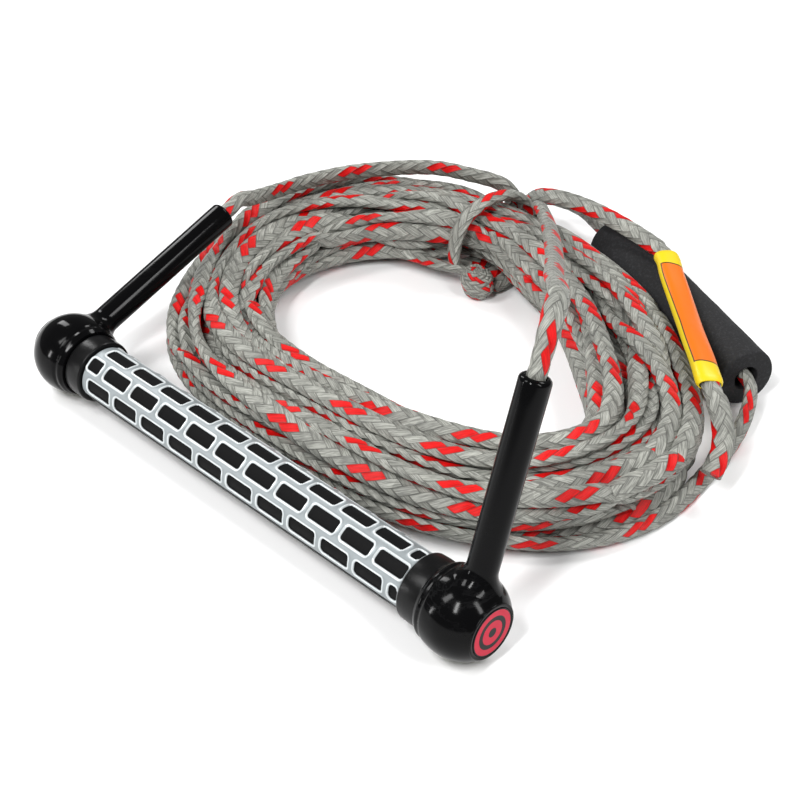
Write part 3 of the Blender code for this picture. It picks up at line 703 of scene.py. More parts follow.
class Slot(Enum):
    """The record's material slot names; no piece here is given them."""

    CAP = "cap_black"
    COLLAR = "collar_black"
    RUBBER = "grip_rubber"
    LATTICE = "lattice_silver"
    FLOAT = "float_foam"
    ROPE = "rope_braid"
    LABEL = "label_vinyl"
    BADGE = "badge_print"


def dress(piece: bpy.types.Object, finish: Finish) -> None:
    """Gives a piece one finish."""
    piece.data.materials.clear()
    piece.data.materials.append(finish.material())


def set_in(piece: bpy.types.Object, body: str, finish: Finish,
           replaced: Sequence[str] = ()) -> None:
    """Dresses a piece, lets it ride on a body and hides the CAD nodes that it stands for.

    Args:
        piece: the new piece.
        body: the body that carries it.
        finish: what it is made of.
        replaced: CAD nodes that it stands for.
    """
    dress(piece, finish)
    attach(piece, body)
    if replaced:
        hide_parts(*replaced)
    LOG.info("%s: %d faces on %s", piece.name, len(piece.data.polygons), body)


# ------------------------------------------------------------------------------------------
# Rope
# ------------------------------------------------------------------------------------------
@dataclass
class Rope:
    """A flattened hollow braid, swept along a path.

    Attributes:
        diameter: its nominal size, as sold.
        half_wide, half_thick: half sizes of its flattened section.
        strands: strands of one set round the rope.
        stitch: length of one braid step along the rope.
        relief: how far a stitch stands out of the surface.
        ring_gap: distance between the mesh's rings where they show.
        sides: points round a ring.
    """

    diameter: float = 0.0085
    half_wide: float = 0.0054
    half_thick: float = 0.0029
    strands: int = 6
    stitch: float = 0.0092
    relief: float = 0.00042
    ring_gap: float = 0.0017
    sides: int = 16

    def stitch_height(self, u: Array, v: Array) -> Array:
        """The braid's height, 0 to 1, at pattern places: the braid group's formula."""
        p, q = self.strands * v + u, self.strands * v - u
        floor_p, floor_q = np.floor(p), np.floor(q)
        phase = np.mod(floor_p + floor_q, 4)
        p_top = phase < 1.5
        across = np.where(p_top, p - floor_p, q - floor_q)
        along = (phase - np.where(p_top, 0, 2) + np.where(p_top, q - floor_q, p - floor_p)) / 2
        crown = 1 - np.abs(2 * across - 1) ** 2.4
        return crown * np.maximum(np.sin(np.pi * along), 0) ** 0.45

    def ring_frames(self, path: Array, wide_axis: Array) -> tuple[Array, Array]:
        """The two section axes at each point: the wide one made square to the path, and the other."""
        tangent = unit(np.gradient(path, axis=0))
        wide = unit(wide_axis - tangent * np.sum(wide_axis * tangent, axis=1, keepdims=True))
        return wide, np.cross(tangent, wide)

    def sweep(self, path: Array, wide_axis: Array, squash: Array, start_at: float = 0.0,
              size: float | Array = 1.0) -> Grid:
        """The rope's surface: path + wide * a cos t + thin * b sin t, plus the stitch relief.

        Args:
            path: n x 3 ring centres.
            wide_axis: n x 3 directions of the section's long side.
            squash: n values, 0 where the section is round and 1 where it is flat.
            start_at: rope length before the first ring, so that the pattern runs on.
            size: scale of the section, less where the rope is squeezed.
        Returns:
            The closed tube.
        """
        wide, thin = self.ring_frames(path, wide_axis)
        angle = np.linspace(0, TAU, self.sides, endpoint=False)
        along = (path_length(path) + start_at) / self.stitch
        share = np.arange(self.sides) / self.sides
        height = self.stitch_height(along[:, None], share[None, :]) * self.relief
        radius = self.diameter / 2 - 0.0002
        a = (size * (radius + (self.half_wide - radius) * squash))[:, None] + height
        b = (size * (radius + (self.half_thick - radius) * squash))[:, None] + height
        points = (path[:, None, :] + wide[:, None, :] * (a * np.cos(angle))[..., None]
                  + thin[:, None, :] * (b * np.sin(angle))[..., None])
        points = points[:, ::-1]
        around = 1 - np.arange(self.sides + 1) / self.sides - 1 / self.sides
        uv = np.stack(np.meshgrid(along, around, indexing="ij"), axis=-1)
        return Grid(points, uv, cap_ends=True)


def carried_axes(path: Array, first: Array) -> Array:
    """A direction carried along a path without twist, from the first point on.

    Each step takes the part of the last direction that is square to the new tangent.
    """
    tangent = unit(np.gradient(path, axis=0))
    axes = np.empty_like(path)
    axis = np.asarray(first, dtype=float)
    for i, direction in enumerate(tangent):
        axis = axis - direction * float(axis @ direction)
        axis = axis / np.linalg.norm(axis)
        axes[i] = axis
    return axes


@dataclass
class CoilShape:
    """The coil's outline and section round its turn angle, as the CAD coil has them.

    Attributes:
        stations: x, y, width and height at even steps of the turn angle.
        tie_x, tie_length: where and over what length the legs squeeze the bundle.
        tie_width, tie_height, tie_lift: its size there and its height above the surface.
        squareness: the power n of its section |x/a|^n + |z/b|^n = 1.
    """

    stations: tuple[tuple[float, float, float, float], ...] = (
        (-0.151, 0.150, 0.056, 0.045), (-0.138, 0.204, 0.059, 0.047), (-0.1005, 0.238, 0.059, 0.048),
        (-0.048, 0.248, 0.053, 0.046), (0.011, 0.238, 0.054, 0.045), (0.0645, 0.209, 0.061, 0.045),
        (0.109, 0.171, 0.063, 0.045), (0.125, 0.128, 0.060, 0.045), (0.1025, 0.082, 0.067, 0.046),
        (0.049, 0.0565, 0.068, 0.047), (-0.025, 0.0495, 0.056, 0.046), (-0.090, 0.061, 0.062, 0.042),
        (-0.132, 0.098, 0.056, 0.037),
    )
    tie_x: float = -0.0600
    tie_length: float = 0.030
    tie_lift: float = 0.0097
    tie_height: float = 0.032
    tie_width: float = 0.039
    squareness: float = 2.35

    def at(self, turn: Array) -> tuple[Array, Array, Array, Array, Array]:
        """Centre, outward direction, half width, half height and base height at turn angles.

        The stations are joined by the Fourier series that passes through them.
        """
        stations = np.array(self.stations)
        terms = np.fft.rfft(stations, axis=0) / len(stations)
        terms[1:] *= 2
        waves = np.exp(1j * np.outer(turn, np.arange(len(terms))))
        values = np.real(waves @ terms)
        slope = np.real((waves * (1j * np.arange(len(terms)))) @ terms)[:, :2]
        outward = unit(np.stack([-slope[:, 1], slope[:, 0]], axis=-1))
        tied = np.exp(-(((values[:, 0] - self.tie_x) / self.tie_length) ** 6)) * (values[:, 1] > 0.15)
        width = values[:, 2] + (self.tie_width - values[:, 2]) * tied
        height = values[:, 3] + (self.tie_height - values[:, 3]) * tied
        return values[:, :2], outward, width / 2, height / 2, self.tie_lift * tied

    def turn_near(self, place: tuple[float, float]) -> float:
        """The turn angle whose centre is nearest to a place."""
        turns = np.linspace(0, TAU, 720, endpoint=False)
        return float(turns[nearest_point(self.at(turns)[0], place)])


@dataclass
class CoilPacking:
    """How the rope's turns lie in the coil.

    Every turn crosses the same sections, so the rope is a chain of places in those sections.
    Flat ropes are three discs in a row. Rounds of relaxation push overlapping discs apart, keep
    them inside the coil's outline, pull each turn towards its place in the winding and smooth
    the chain along the rope.

    Attributes:
        shape: the coil's outline.
        turns, sections: whole turns of rope, and sections in one turn.
        rounds, seed: rounds of relaxation and the random numbers' seed.
        disc, reach: the discs' radius, and how far the outer two are from the middle one.
        columns: turns in each column of the winding, from the inner side to the outer.
        wander, lean_step: how much the turns stray at first, and how much they lean a section.
        sink: how far a turn sinks in a round.
        first_pull, last_pull: the share of the way to its place that a turn is pulled in a round.
        smoothing, lean_smoothing: how strongly a place and a lean follow their neighbours.
        push, hold: the share of a move that is made when discs overlap, and at the outline.
    """

    shape: CoilShape
    turns: int = 27
    sections: int = 96
    rounds: int = 220
    seed: int = 11
    disc: float = 0.0028
    reach: float = 0.0025
    columns: tuple[int, ...] = (4, 5, 5, 5, 5, 4)
    wander: float = 0.0056
    lean_step: float = 0.16
    sink: float = 0.00003
    first_pull: float = 0.05
    last_pull: float = 0.004
    smoothing: float = 0.32
    lean_smoothing: float = 0.5
    push: float = 0.42
    hold: float = 0.4

    def winding_places(self) -> Array:
        """The turns' places in a unit section, in the order in which they are wound.

        They fill columns from the inner side to the outer, one up and the next down.
        """
        places = []
        count = len(self.columns)
        for i, size in enumerate(self.columns):
            a = -0.86 + 1.72 * i / (count - 1)
            tall = math.sqrt(max(0.1, 1 - a * a * 0.8)) * 0.86
            heights = np.linspace(-tall, tall, size)
            places += [(a, height) for height in (heights if i % 2 == 0 else heights[::-1])]
        return np.array(places)

    def swapped(self, targets: Array, rng: np.random.Generator) -> Array:
        """Targets with some neighbouring turns trading places over part of the way round."""
        count, sections = targets.shape[:2]
        steps = np.arange(sections)
        for middle in np.linspace(0, sections, 7)[:-1] + sections / 12:
            free = list(rng.permutation(count - 1))
            window = smoothstep(1.6 - np.abs((steps - middle + sections / 2) % sections - sections / 2)
                                / (sections / 11))
            for first in free[:9]:
                here = int(middle) % sections
                near = np.linalg.norm(targets[:, here] - targets[first, here], axis=1)
                second = int(np.argsort(near)[1 + rng.integers(0, 3)])
                gap = targets[second] - targets[first]
                targets[first] += gap * window[:, None]
                targets[second] -= gap * window[:, None]
        return targets

    def relax(self, start: float, tail: float) -> tuple[Array, Array, Array]:
        """Settles the turns.

        Args:
            start: the turn angle where the rope enters the coil.
            tail: the share of a turn that the rope makes after its last whole one.
        Returns:
            Ring centres along the rope, the direction of the section's long side and its size at each.
        """
        rng = np.random.default_rng(self.seed)
        sections, count = self.sections, self.turns + 1
        total = int(self.turns * sections + round(tail * sections))
        turn = start - TAU * np.arange(sections) / sections
        centre, outward, half_wide, half_high, base = self.shape.at(turn)
        middle_height = base + half_high
        order = self.winding_places()
        progress, known = np.arange(count * sections) / sections, np.arange(len(order))
        unit_place = np.stack([np.interp(progress, known, order[:, i]) for i in range(2)], axis=-1)
        targets = self.swapped(unit_place.reshape(count, sections, 2), rng)
        scale = np.stack([half_wide, half_high], axis=-1) - self.disc
        targets = targets * scale
        targets[..., 1] += middle_height
        wander = rng.normal(0, self.wander, (count * sections, 2))
        kernel = hanning(31)
        wander = np.stack([np.convolve(wander[:, i], kernel, "same") for i in range(2)], axis=-1)
        place = targets + wander.reshape(targets.shape)
        lean = np.cumsum(rng.normal(0, self.lean_step, count * sections))
        lean = (lean - np.convolve(lean, hanning(201), "same")).reshape(count, sections)
        size = np.clip(np.sqrt(half_wide * half_high / (0.0235 * 0.0205)), 0.78, 1.0)
        live = (np.arange(count * sections) < total).reshape(count, sections)
        for step in range(self.rounds):
            pull = self.first_pull * (1 - step / self.rounds) ** 2 + self.last_pull
            place += (targets - place) * pull
            place[..., 1] -= self.sink
            place, lean = self.push_apart(place, lean, size, live)
            place, lean = self.keep_inside(place, lean, size, half_wide, half_high, middle_height)
            flat = place.reshape(-1, 2)
            flat[1:-1] += self.smoothing * ((flat[:-2] + flat[2:]) / 2 - flat[1:-1])
            turned = lean.reshape(-1)
            turned[1:-1] += self.lean_smoothing * ((turned[:-2] + turned[2:]) / 2 - turned[1:-1])
        flat, lean = place.reshape(-1, 2)[:total], lean.reshape(-1)[:total]
        index = np.arange(total) % sections
        out3 = np.column_stack([outward[index], np.zeros(total)])
        path = np.column_stack([centre[index], np.zeros(total)]) + out3 * flat[:, :1] + UP * flat[:, 1:]
        wide = out3 * np.cos(lean)[:, None] + UP * np.sin(lean)[:, None]
        return path, wide, size[index]

    def discs(self, place: Array, lean: Array, size: Array) -> tuple[Array, Array]:
        """The three discs of every section: their places, sections first, and their offsets."""
        offsets = np.array([-1.0, 0.0, 1.0]) * self.reach
        way = np.stack([np.cos(lean), np.sin(lean)], axis=-1)
        shift = offsets[None, None, :, None] * size[None, :, None, None]
        spots = place[:, :, None, :] + way[:, :, None, :] * shift
        return spots.transpose(1, 0, 2, 3).reshape(place.shape[1], -1, 2), offsets

    def share_out(self, place: Array, lean: Array, moves: Array, offsets: Array,
                  amount: float) -> tuple[Array, Array]:
        """Turns moves of the discs into a move and a turn of each rope section."""
        count, sections = lean.shape
        moves = moves.reshape(sections, count, 3, 2).transpose(1, 0, 2, 3)
        way = np.stack([np.cos(lean), np.sin(lean)], axis=-1)
        cross = way[:, :, None, 0] * moves[..., 1] - way[:, :, None, 1] * moves[..., 0]
        spin = np.sum(cross * offsets, axis=-1) / (2 * self.reach ** 2)
        return place + moves.sum(axis=2) * amount, lean + np.clip(spin * amount, -0.15, 0.15)

    def push_apart(self, place: Array, lean: Array, size: Array, live: Array) -> tuple[Array, Array]:
        """Moves overlapping discs of different turns half their overlap apart."""
        spots, offsets = self.discs(place, lean, size)
        owner = np.repeat(np.arange(place.shape[0]), 3)
        apart = spots[:, :, None, :] - spots[:, None, :, :]
        distance = np.sqrt(np.sum(apart ** 2, axis=-1)) + 1e-7
        overlap = np.maximum(0, 2 * self.disc * size[:, None, None] - distance)
        overlap *= owner[:, None] != owner[None, :]
        there = np.repeat(live.T, 3, axis=1)
        overlap *= there[:, :, None] & there[:, None, :]
        moves = np.einsum("skl,sklx->skx", overlap / distance, apart) * 0.5
        return self.share_out(place, lean, moves, offsets, self.push)

    def keep_inside(self, place: Array, lean: Array, size: Array, half_wide: Array, half_high: Array,
                    middle: Array) -> tuple[Array, Array]:
        """Moves discs that leave the coil's outline, |x/a|^n + |z/b|^n = 1, back onto it."""
        spots, offsets = self.discs(place, lean, size)
        power = self.shape.squareness
        room = np.stack([half_wide, half_high], axis=-1)[:, None, :] - (self.disc * size)[:, None, None]
        centred = spots - np.stack([np.zeros_like(middle), middle], axis=-1)[:, None, :]
        level = np.sum(np.abs(centred / room) ** power, axis=-1)
        pull = np.where(level > 1, np.maximum(level, 1) ** (-1 / power) - 1, 0)
        return self.share_out(place, lean, centred * pull[..., None], offsets, self.hold)


@dataclass
class MainLine:
    """The coiled main line with the tow end: one rope, shown as pieces end to end.

    Attributes:
        splice: where the legs join it, inside the coil.
        approach: its way from the coil to the float.
        float_near, float_bearing, float_length: the straight stretch in the float.
        back: its way from the float round and back over it.
        label_ends: the places on that way where the printed sleeve begins and ends.
        label_squeeze: the rope's size inside the printed sleeve.
        float_flatness: how flat the rope is inside the float, 0 for round.
    """

    rope: Rope = field(default_factory=Rope)
    coil: CoilShape = field(default_factory=CoilShape)
    splice: Point = (-0.0512, 0.2200, 0.0120)
    approach: tuple[Point, ...] = (
        (0.1510, 0.1605, 0.0050), (0.1485, 0.1770, 0.0050), (0.1453, 0.1930, 0.0058),
        (0.1422, 0.2080, 0.0082), (0.1378, 0.2215, 0.0118), (0.1316, 0.2328, 0.0152),
    )
    float_near: Point = (0.1225, 0.2415, 0.0168)
    float_bearing: float = math.radians(157)
    float_length: float = 0.150
    back: tuple[Point, ...] = (
        (-0.036, 0.3085, 0.0170), (-0.056, 0.3150, 0.0175), (-0.073, 0.3110, 0.0190),
        (-0.077, 0.2960, 0.0240), (-0.066, 0.2880, 0.0340), (-0.046, 0.2860, 0.0405),
        (-0.020, 0.2860, 0.0425), (0.010, 0.2840, 0.0415), (0.037, 0.2775, 0.0410),
        (0.0530, 0.2640, 0.0400), (0.0700, 0.2494, 0.0390), (0.0855, 0.2350, 0.0400),
        (0.1010, 0.2200, 0.0425), (0.1170, 0.2055, 0.0440), (0.1325, 0.1915, 0.0435),
        (0.1465, 0.1835, 0.0350), (0.1555, 0.1740, 0.0245), (0.1585, 0.1615, 0.0170),
    )
    label_ends: tuple[Point, Point] = ((0.037, 0.2775, 0.0410), (0.1325, 0.1915, 0.0435))
    label_squeeze: float = 0.84
    float_flatness: float = 0.55

    def float_axis(self) -> Array:
        """The direction from the float's near end to its far end."""
        return np.array([math.cos(self.float_bearing), math.sin(self.float_bearing), 0.0])

    def tow_route(self) -> Array:
        """The tow end's own route points, from the coil to the end of the loop."""
        near = np.array(self.float_near)
        inside = [near + self.float_axis() * self.float_length * share for share in (0, 0.25, 0.5, 0.75, 1)]
        return np.vstack([self.approach, inside, self.back])

    def whole_path(self) -> tuple[Array, Array, Array]:
        """Ring centres, wide directions and section sizes of the whole rope, under the bar's origin."""
        packing = CoilPacking(self.coil, rounds=220)
        start = self.coil.turn_near((self.coil.tie_x - 0.006, 0.247))
        leave = self.coil.turn_near((0.129, 0.152))
        tail = ((start - leave) % TAU) / TAU
        path, wide, size = packing.relax(start, tail)
        tow = refine(self.tow_route(), 0.008)
        path = self.lead_in(path)
        path = self.lead_out(path, tow[0], tow[1] - tow[0])
        tow_wide = carried_axes(tow, wide[-1])
        joined, axes = np.vstack([path, tow]), np.vstack([wide, tow_wide])
        sizes = np.concatenate([size, np.ones(len(tow))])
        keep = len(path)
        joined[keep - 40:keep + 6] = softened(joined[keep - 40:keep + 6], 6)
        both = refine(np.column_stack([joined, axes, sizes]), self.rope.ring_gap)
        return both[:, :3], unit(both[:, 3:6]), both[:, 6]

    def lead_in(self, path: Array, samples: int = 9) -> Array:
        """The path with its first stretch drawn from the splice into the coil."""
        share = smoothstep(np.arange(samples) / samples)[:, None]
        first = path[0].copy()
        path = path.copy()
        path[:samples] += (np.array(self.splice) - first) * (1 - share)
        return path

    def lead_out(self, path: Array, stop: Array, way: Array, samples: int = 16) -> Array:
        """The path with its last stretch drawn out of the coil onto the tow end's route."""
        share = smoothstep(np.arange(1, samples + 1) / samples)[:, None]
        path = path.copy()
        path[-samples:] += (stop - way - path[-1]) * share
        return path

    def build(self, exposed: float = 0.62) -> list[bpy.types.Object]:
        """Builds the rope's pieces.

        Rings deep inside the bundle are left out two times in three, since they don't show.

        Args:
            exposed: how far out of the bundle's middle, as a share, a ring counts as showing.
        Returns:
            The pieces in order.
        """
        path, wide, size = self.whole_path()
        along = path_length(path)
        kept = self.showing(path, exposed) | (np.arange(len(path)) % 3 == 0)
        cuts = np.linspace(0, along[-1], 4)
        pieces = []
        squash = np.ones(len(path))
        squash[self.near_float(path)] = self.float_flatness
        squash = softened(squash, 12)
        size = size.copy()
        size[self.in_label(path)] = self.label_squeeze
        for i, (low, high) in enumerate(zip(cuts, cuts[1:])):
            chosen = np.flatnonzero(kept & (along >= low - 0.001) & (along <= high + 0.001))
            ring_path = path[chosen] + BAR_ORIGIN
            grid = self.rope.sweep(ring_path, wide[chosen], squash[chosen], along[chosen[0]], size[chosen])
            piece = build_piece(f"main_line_{i + 1}", [grid])
            set_in(piece, "bar", ROPE, {0: ["rope_coil"], 2: ["tow_loop_rope"]}.get(i, []))
            pieces.append(piece)
        return pieces

    def showing(self, path: Array, exposed: float) -> Array:
        """True for the rings near the outside of the bundle, and for all of the tow end."""
        turns = np.linspace(0, TAU, 360, endpoint=False)
        centre, outward, half_wide, half_high, base = self.coil.at(turns)
        nearest = np.empty(len(path), dtype=int)
        for part in np.array_split(np.arange(len(path)), 40):
            gap = path[part, None, :2] - centre[None]
            nearest[part] = np.argmin(np.sum(gap ** 2, axis=-1), axis=1)
        gap = path[:, :2] - centre[nearest]
        across = np.sum(gap * outward[nearest], axis=1) / half_wide[nearest]
        tall = (path[:, 2] - base[nearest] - half_high[nearest]) / half_high[nearest]
        return np.hypot(across, tall) > exposed

    def in_label(self, path: Array) -> Array:
        """True for the rings between the printed sleeve's two ends, and a little beyond them."""
        first, last = (nearest_point(path, end) for end in self.label_ends)
        index = np.arange(len(path))
        return (index >= first - 4) & (index <= last + 4)

    def near_float(self, path: Array) -> Array:
        """True for the rings inside the float."""
        gap = path - np.array(self.float_near)
        along = gap @ self.float_axis()
        off = np.linalg.norm(gap - along[:, None] * self.float_axis(), axis=1)
        return (along > -0.006) & (along < self.float_length + 0.006) & (off < 0.006)


@dataclass
class Leg:
    """One leg of the bridle, from an end cap's arm to the splice behind the tie.

    Attributes:
        name, side: which leg it is, and -1 for left or 1 for right.
        rise: the arm's angle above the surface.
        route: its way from the arm to the splice, measured from under the bar.
        blend_end: the number of the route's point from which it lies still on the coil; not used.
        arm_x, arm_reach: the arm's place along the bar and its tip's distance from the axis.
        inside: how far the leg starts inside the arm.
    """

    name: str
    side: int
    rise: float
    route: tuple[Point, ...]
    blend_end: int
    rope: Rope = field(default_factory=Rope)
    arm_x: float = ARM_X
    arm_reach: float = ARM_REACH
    inside: float = 0.0075

    def arm_point(self, reach: float) -> Point:
        """A point on the arm's axis."""
        return (self.side * self.arm_x, reach * math.cos(self.rise), BAR_HEIGHT + reach * math.sin(self.rise))

    def path(self) -> Array:
        """Ring centres, from inside the arm's tip to the splice."""
        first = [self.arm_point(self.arm_reach + step) for step in (-self.inside, 0.0003, 0.0123)]
        return refine(placed(first + list(self.route)), self.rope.ring_gap)

    def build(self) -> bpy.types.Object:
        path = self.path()
        wide = carried_axes(path[::-1], np.array([1.0, 0.0, 0.0]))[::-1]
        along = path_length(path)
        squash = smoothstep((along - self.inside - 0.004) / 0.03) * 0.9
        rope = Rope(ring_gap=self.rope.ring_gap, sides=20)
        piece = build_piece(f"{self.name}_leg", [rope.sweep(path, wide, squash)])
        dress(piece, ROPE)
        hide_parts(f"{self.name}_leg_rope")
        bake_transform(piece)
        LOG.info("%s: %.3f m of rope", piece.name, along[-1])
        return piece


LEFT_RISE, RIGHT_RISE = math.radians(19.5), math.radians(71.5)
RIGHT_LEG = Leg("right", 1, RIGHT_RISE, (
    (0.1437, 0.0490, 0.1558), (0.1354, 0.0625, 0.1563), (0.1205, 0.0805, 0.1465),
    (0.1046, 0.0971, 0.1350), (0.0671, 0.1432, 0.1080), (0.0205, 0.1971, 0.0790),
    (-0.0136, 0.2337, 0.0600), (-0.0377, 0.2570, 0.0490), (-0.0500, 0.2725, 0.0350),
    (-0.053, 0.2755, 0.018), (-0.0525, 0.265, 0.0065), (-0.0490, 0.250, 0.0048),
    (-0.0465, 0.238, 0.0048), (-0.0465, 0.2270, 0.0050),
), blend_end=7)
LEFT_LEG = Leg("left", -1, LEFT_RISE, (
    (-0.1490, 0.1340, 0.0605), (-0.1550, 0.1600, 0.0530), (-0.1560, 0.1830, 0.0494),
    (-0.1430, 0.2130, 0.0495), (-0.1170, 0.2440, 0.0500), (-0.0940, 0.2570, 0.0490),
    (-0.0775, 0.2695, 0.0430),
    (-0.0745, 0.2765, 0.027), (-0.0740, 0.2735, 0.012), (-0.0725, 0.256, 0.0052),
    (-0.0710, 0.238, 0.0055), (-0.0700, 0.222, 0.0105), (-0.0690, 0.2180, 0.025),
    (-0.0680, 0.2240, 0.041), (-0.0670, 0.241, 0.0475), (-0.0655, 0.261, 0.0450),
    (-0.0640, 0.2740, 0.034), (-0.0635, 0.2755, 0.018), (-0.0620, 0.265, 0.0065),
    (-0.0585, 0.250, 0.0048), (-0.0560, 0.238, 0.0048), (-0.0560, 0.2270, 0.0050),
), blend_end=4)


@dataclass
class BridleSplice:
    """The bound lump where both legs join the main line: rope wound over itself."""

    centre: Point = (-0.0512, 0.2190, 0.0095)
    half: Point = (0.0098, 0.0078, 0.0092)
    turns: float = 3.5
    rib: float = 0.09
    relief: float = 0.00035

    def build(self) -> bpy.types.Object:
        """An egg-shaped winding of a few turns, with ribs of sine section and a braid's stitches."""
        rows, columns = 72, 96
        share = np.linspace(0.02, 0.98, rows)[:, None]
        angle = np.linspace(0, TAU, columns, endpoint=False)[None, :]
        ribs = 1 + self.rib * np.abs(np.sin(np.pi * self.turns * share + angle / 2))
        u = angle / TAU * 10 + 0 * share
        v = share * self.turns * 0.55 + angle / TAU * 0.5
        stitch = self.relief * Rope().stitch_height(u, v)
        polar = np.pi * share
        flat = np.abs(np.sin(polar)) ** 0.8
        shape = np.stack([flat * np.cos(angle), flat * np.sin(angle), -np.cos(polar) + 0 * angle], axis=-1)
        points = np.array(self.centre) + shape * ribs[..., None] * np.array(self.half)
        points = points + unit(shape) * stitch[..., None] + BAR_ORIGIN
        points[..., 2] = np.maximum(points[..., 2], 0.0003)
        full = np.linspace(0, 1, columns + 1)[None, :]
        full_v = share * self.turns * 0.55 + full * 0.5
        uv = np.stack(np.broadcast_arrays(full * 10 + 0 * share, full_v), axis=-1)
        grid = Grid(points[:, ::-1][::-1], uv[::-1, ::-1], cap_ends=True)
        piece = build_piece("bridle_splice_lump", [grid])
        set_in(piece, "bar", ROPE, ["bridle_splice"])
        return piece


# ------------------------------------------------------------------------------------------
# Handle
# ------------------------------------------------------------------------------------------
def side_name(side: int) -> str:
    """Which end of the bar it is."""
    return "right" if side > 0 else "left"


def bar_frame(side: int, rise: float = 0.0) -> tuple[Array, Array, Array]:
    """The bar's middle, its outward axis to one side and the direction of that side's arm."""
    centre = BAR_ORIGIN + np.array([0, 0, BAR_HEIGHT])
    return centre, np.array([float(side), 0, 0]), np.array([0, math.cos(rise), math.sin(rise)])


@dataclass
class EndCap:
    """A glossy end cap: a bulb with its arm, its badge and the rope opening in the arm's tip."""

    side: int
    rise: float
    neck: float = 0.1293
    face: float = 0.1605
    bulb: float = 0.0215
    middle: float = 0.1435
    outer_reach: float = 0.0217
    inner_reach: float = 0.0270
    wall: float = 0.0035
    bore: float = 0.0114
    arm_x: float = ARM_X
    arm_radius: float = 0.0075
    arm_bore: float = 0.00475
    arm_reach: float = ARM_REACH
    fillet: float = 0.0050
    recess_radius: float = 0.0125
    recess_floor: float = 0.1592
    tube_end: float = 0.1324
    badge_radius: float = 0.0122
    badge_face: float = 0.1607

    @property
    def name(self) -> str:
        """Which end it is."""
        return side_name(self.side)

    def bulb_radius(self, place: Array) -> Array:
        """Two half ovals that meet at the widest place."""
        reach = np.where(place > self.middle, self.outer_reach, self.inner_reach)
        return self.bulb * np.sqrt(np.maximum(0, 1 - ((place - self.middle) / reach) ** 2))

    def bulb_profile(self) -> Array:
        """Badge recess, rounded lip, oval bulb, neck with a moulded bead, and the room inside."""
        lip_place = self.face - 0.0008
        lip = self.bulb_radius(np.array(lip_place))
        outer = lip_place - (lip_place - self.neck) * np.linspace(0, 1, 60) ** 1.15
        bead = 0.00035 * np.exp(-(((outer - self.neck - 0.0022) / 0.0009) ** 2))
        dip = 0.00045 * np.exp(-(((outer - self.neck - 0.0045) / 0.0008) ** 2))
        body = np.stack([self.bulb_radius(outer) + bead - dip, outer], axis=-1)
        corner = arc((float(lip) - 0.0005, self.face - 0.0006), 0.0006, 88, 10, 6)
        room_places = np.linspace(self.tube_end, self.recess_floor - self.wall, 14)
        room = np.stack([self.bulb_radius(room_places) - self.wall, room_places], axis=-1)
        recess = [[0, self.recess_floor], [self.recess_radius, self.recess_floor],
                  [self.recess_radius, self.face - 0.0002], [self.recess_radius + 0.0003, self.face]]
        opening = [[self.bore, self.neck], [self.bore, self.tube_end]]
        return np.vstack([recess, corner, body, opening, room, [[0, self.recess_floor - self.wall]]])

    def arm_grid(self) -> Grid:
        """The arm: a tube whose foot spreads onto the bulb.

        At each angle round the arm the foot is a cubic Bezier from the arm's wall to the bulb's
        surface, which it meets along the surface. The bulb's height at an offset (x, w) from
        the arm's axis is sqrt(bulb radius at x squared - w squared).
        """
        centre, out, up_arm = bar_frame(self.side, self.rise)
        cross = np.cross(up_arm, out)
        sides = 96
        angle = np.linspace(0, TAU, sides, endpoint=False)

        def surface(radius: Array) -> Array:
            """The bulb's height under a ring of the given radius round the arm's axis."""
            along = self.arm_x + radius * np.cos(angle)
            return np.sqrt(np.maximum(1e-8, self.bulb_radius(along) ** 2 - (radius * np.sin(angle)) ** 2))

        wide = self.arm_radius + self.fillet
        foot, inner = surface(wide), surface(wide - 0.0005)
        slope = (inner - foot) / 0.0005
        start_height = surface(self.arm_radius) + self.fillet * 1.25
        first = np.stack([np.full(sides, self.arm_radius), start_height])
        second = np.stack([np.full(sides, self.arm_radius), start_height - self.fillet * 0.75])
        third = np.stack([np.full(sides, wide - self.fillet * 0.5), foot + slope * self.fillet * 0.5])
        fourth = np.stack([np.full(sides, wide), foot - 0.00012])
        t = np.linspace(0, 1, 16)[:, None, None]
        bezier = ((1 - t) ** 3 * first + 3 * (1 - t) ** 2 * t * second
                  + 3 * (1 - t) * t ** 2 * third + t ** 3 * fourth)
        round_tip = 0.0024
        tip = arc((self.arm_radius - round_tip, self.arm_reach - round_tip), round_tip, 90, 0, 9)
        mouth = arc((self.arm_bore + 0.0005, self.arm_reach - 0.0005), 0.0005, 180, 90, 5)
        bore_depth = self.arm_reach - 0.0095
        upper = np.vstack([[[0, bore_depth], [self.arm_bore, bore_depth]], mouth, tip])
        upper_rows = np.repeat(upper.T[None].transpose(2, 1, 0), sides, axis=2)
        shaft = np.linspace(0, 1, 10)[1:-1, None]
        shaft_height = (self.arm_reach - round_tip) * (1 - shaft) + start_height[None] * shaft
        shaft_rows = np.stack([np.full_like(shaft_height, self.arm_radius), shaft_height], axis=1)
        base = np.stack([np.full(sides, 1e-5), np.full(sides, 0.012)])[None]
        rows = np.concatenate([upper_rows, shaft_rows, bezier, base])
        radius, height = np.maximum(rows[:, 0], 1e-5)[..., None], rows[:, 1][..., None]
        ring = out * np.cos(angle)[None, :, None] + cross * np.sin(angle)[None, :, None]
        points = centre + out * self.arm_x + up_arm * height + ring * radius
        return Grid(points if self.side < 0 else points[:, ::-1], cap_ends=True)

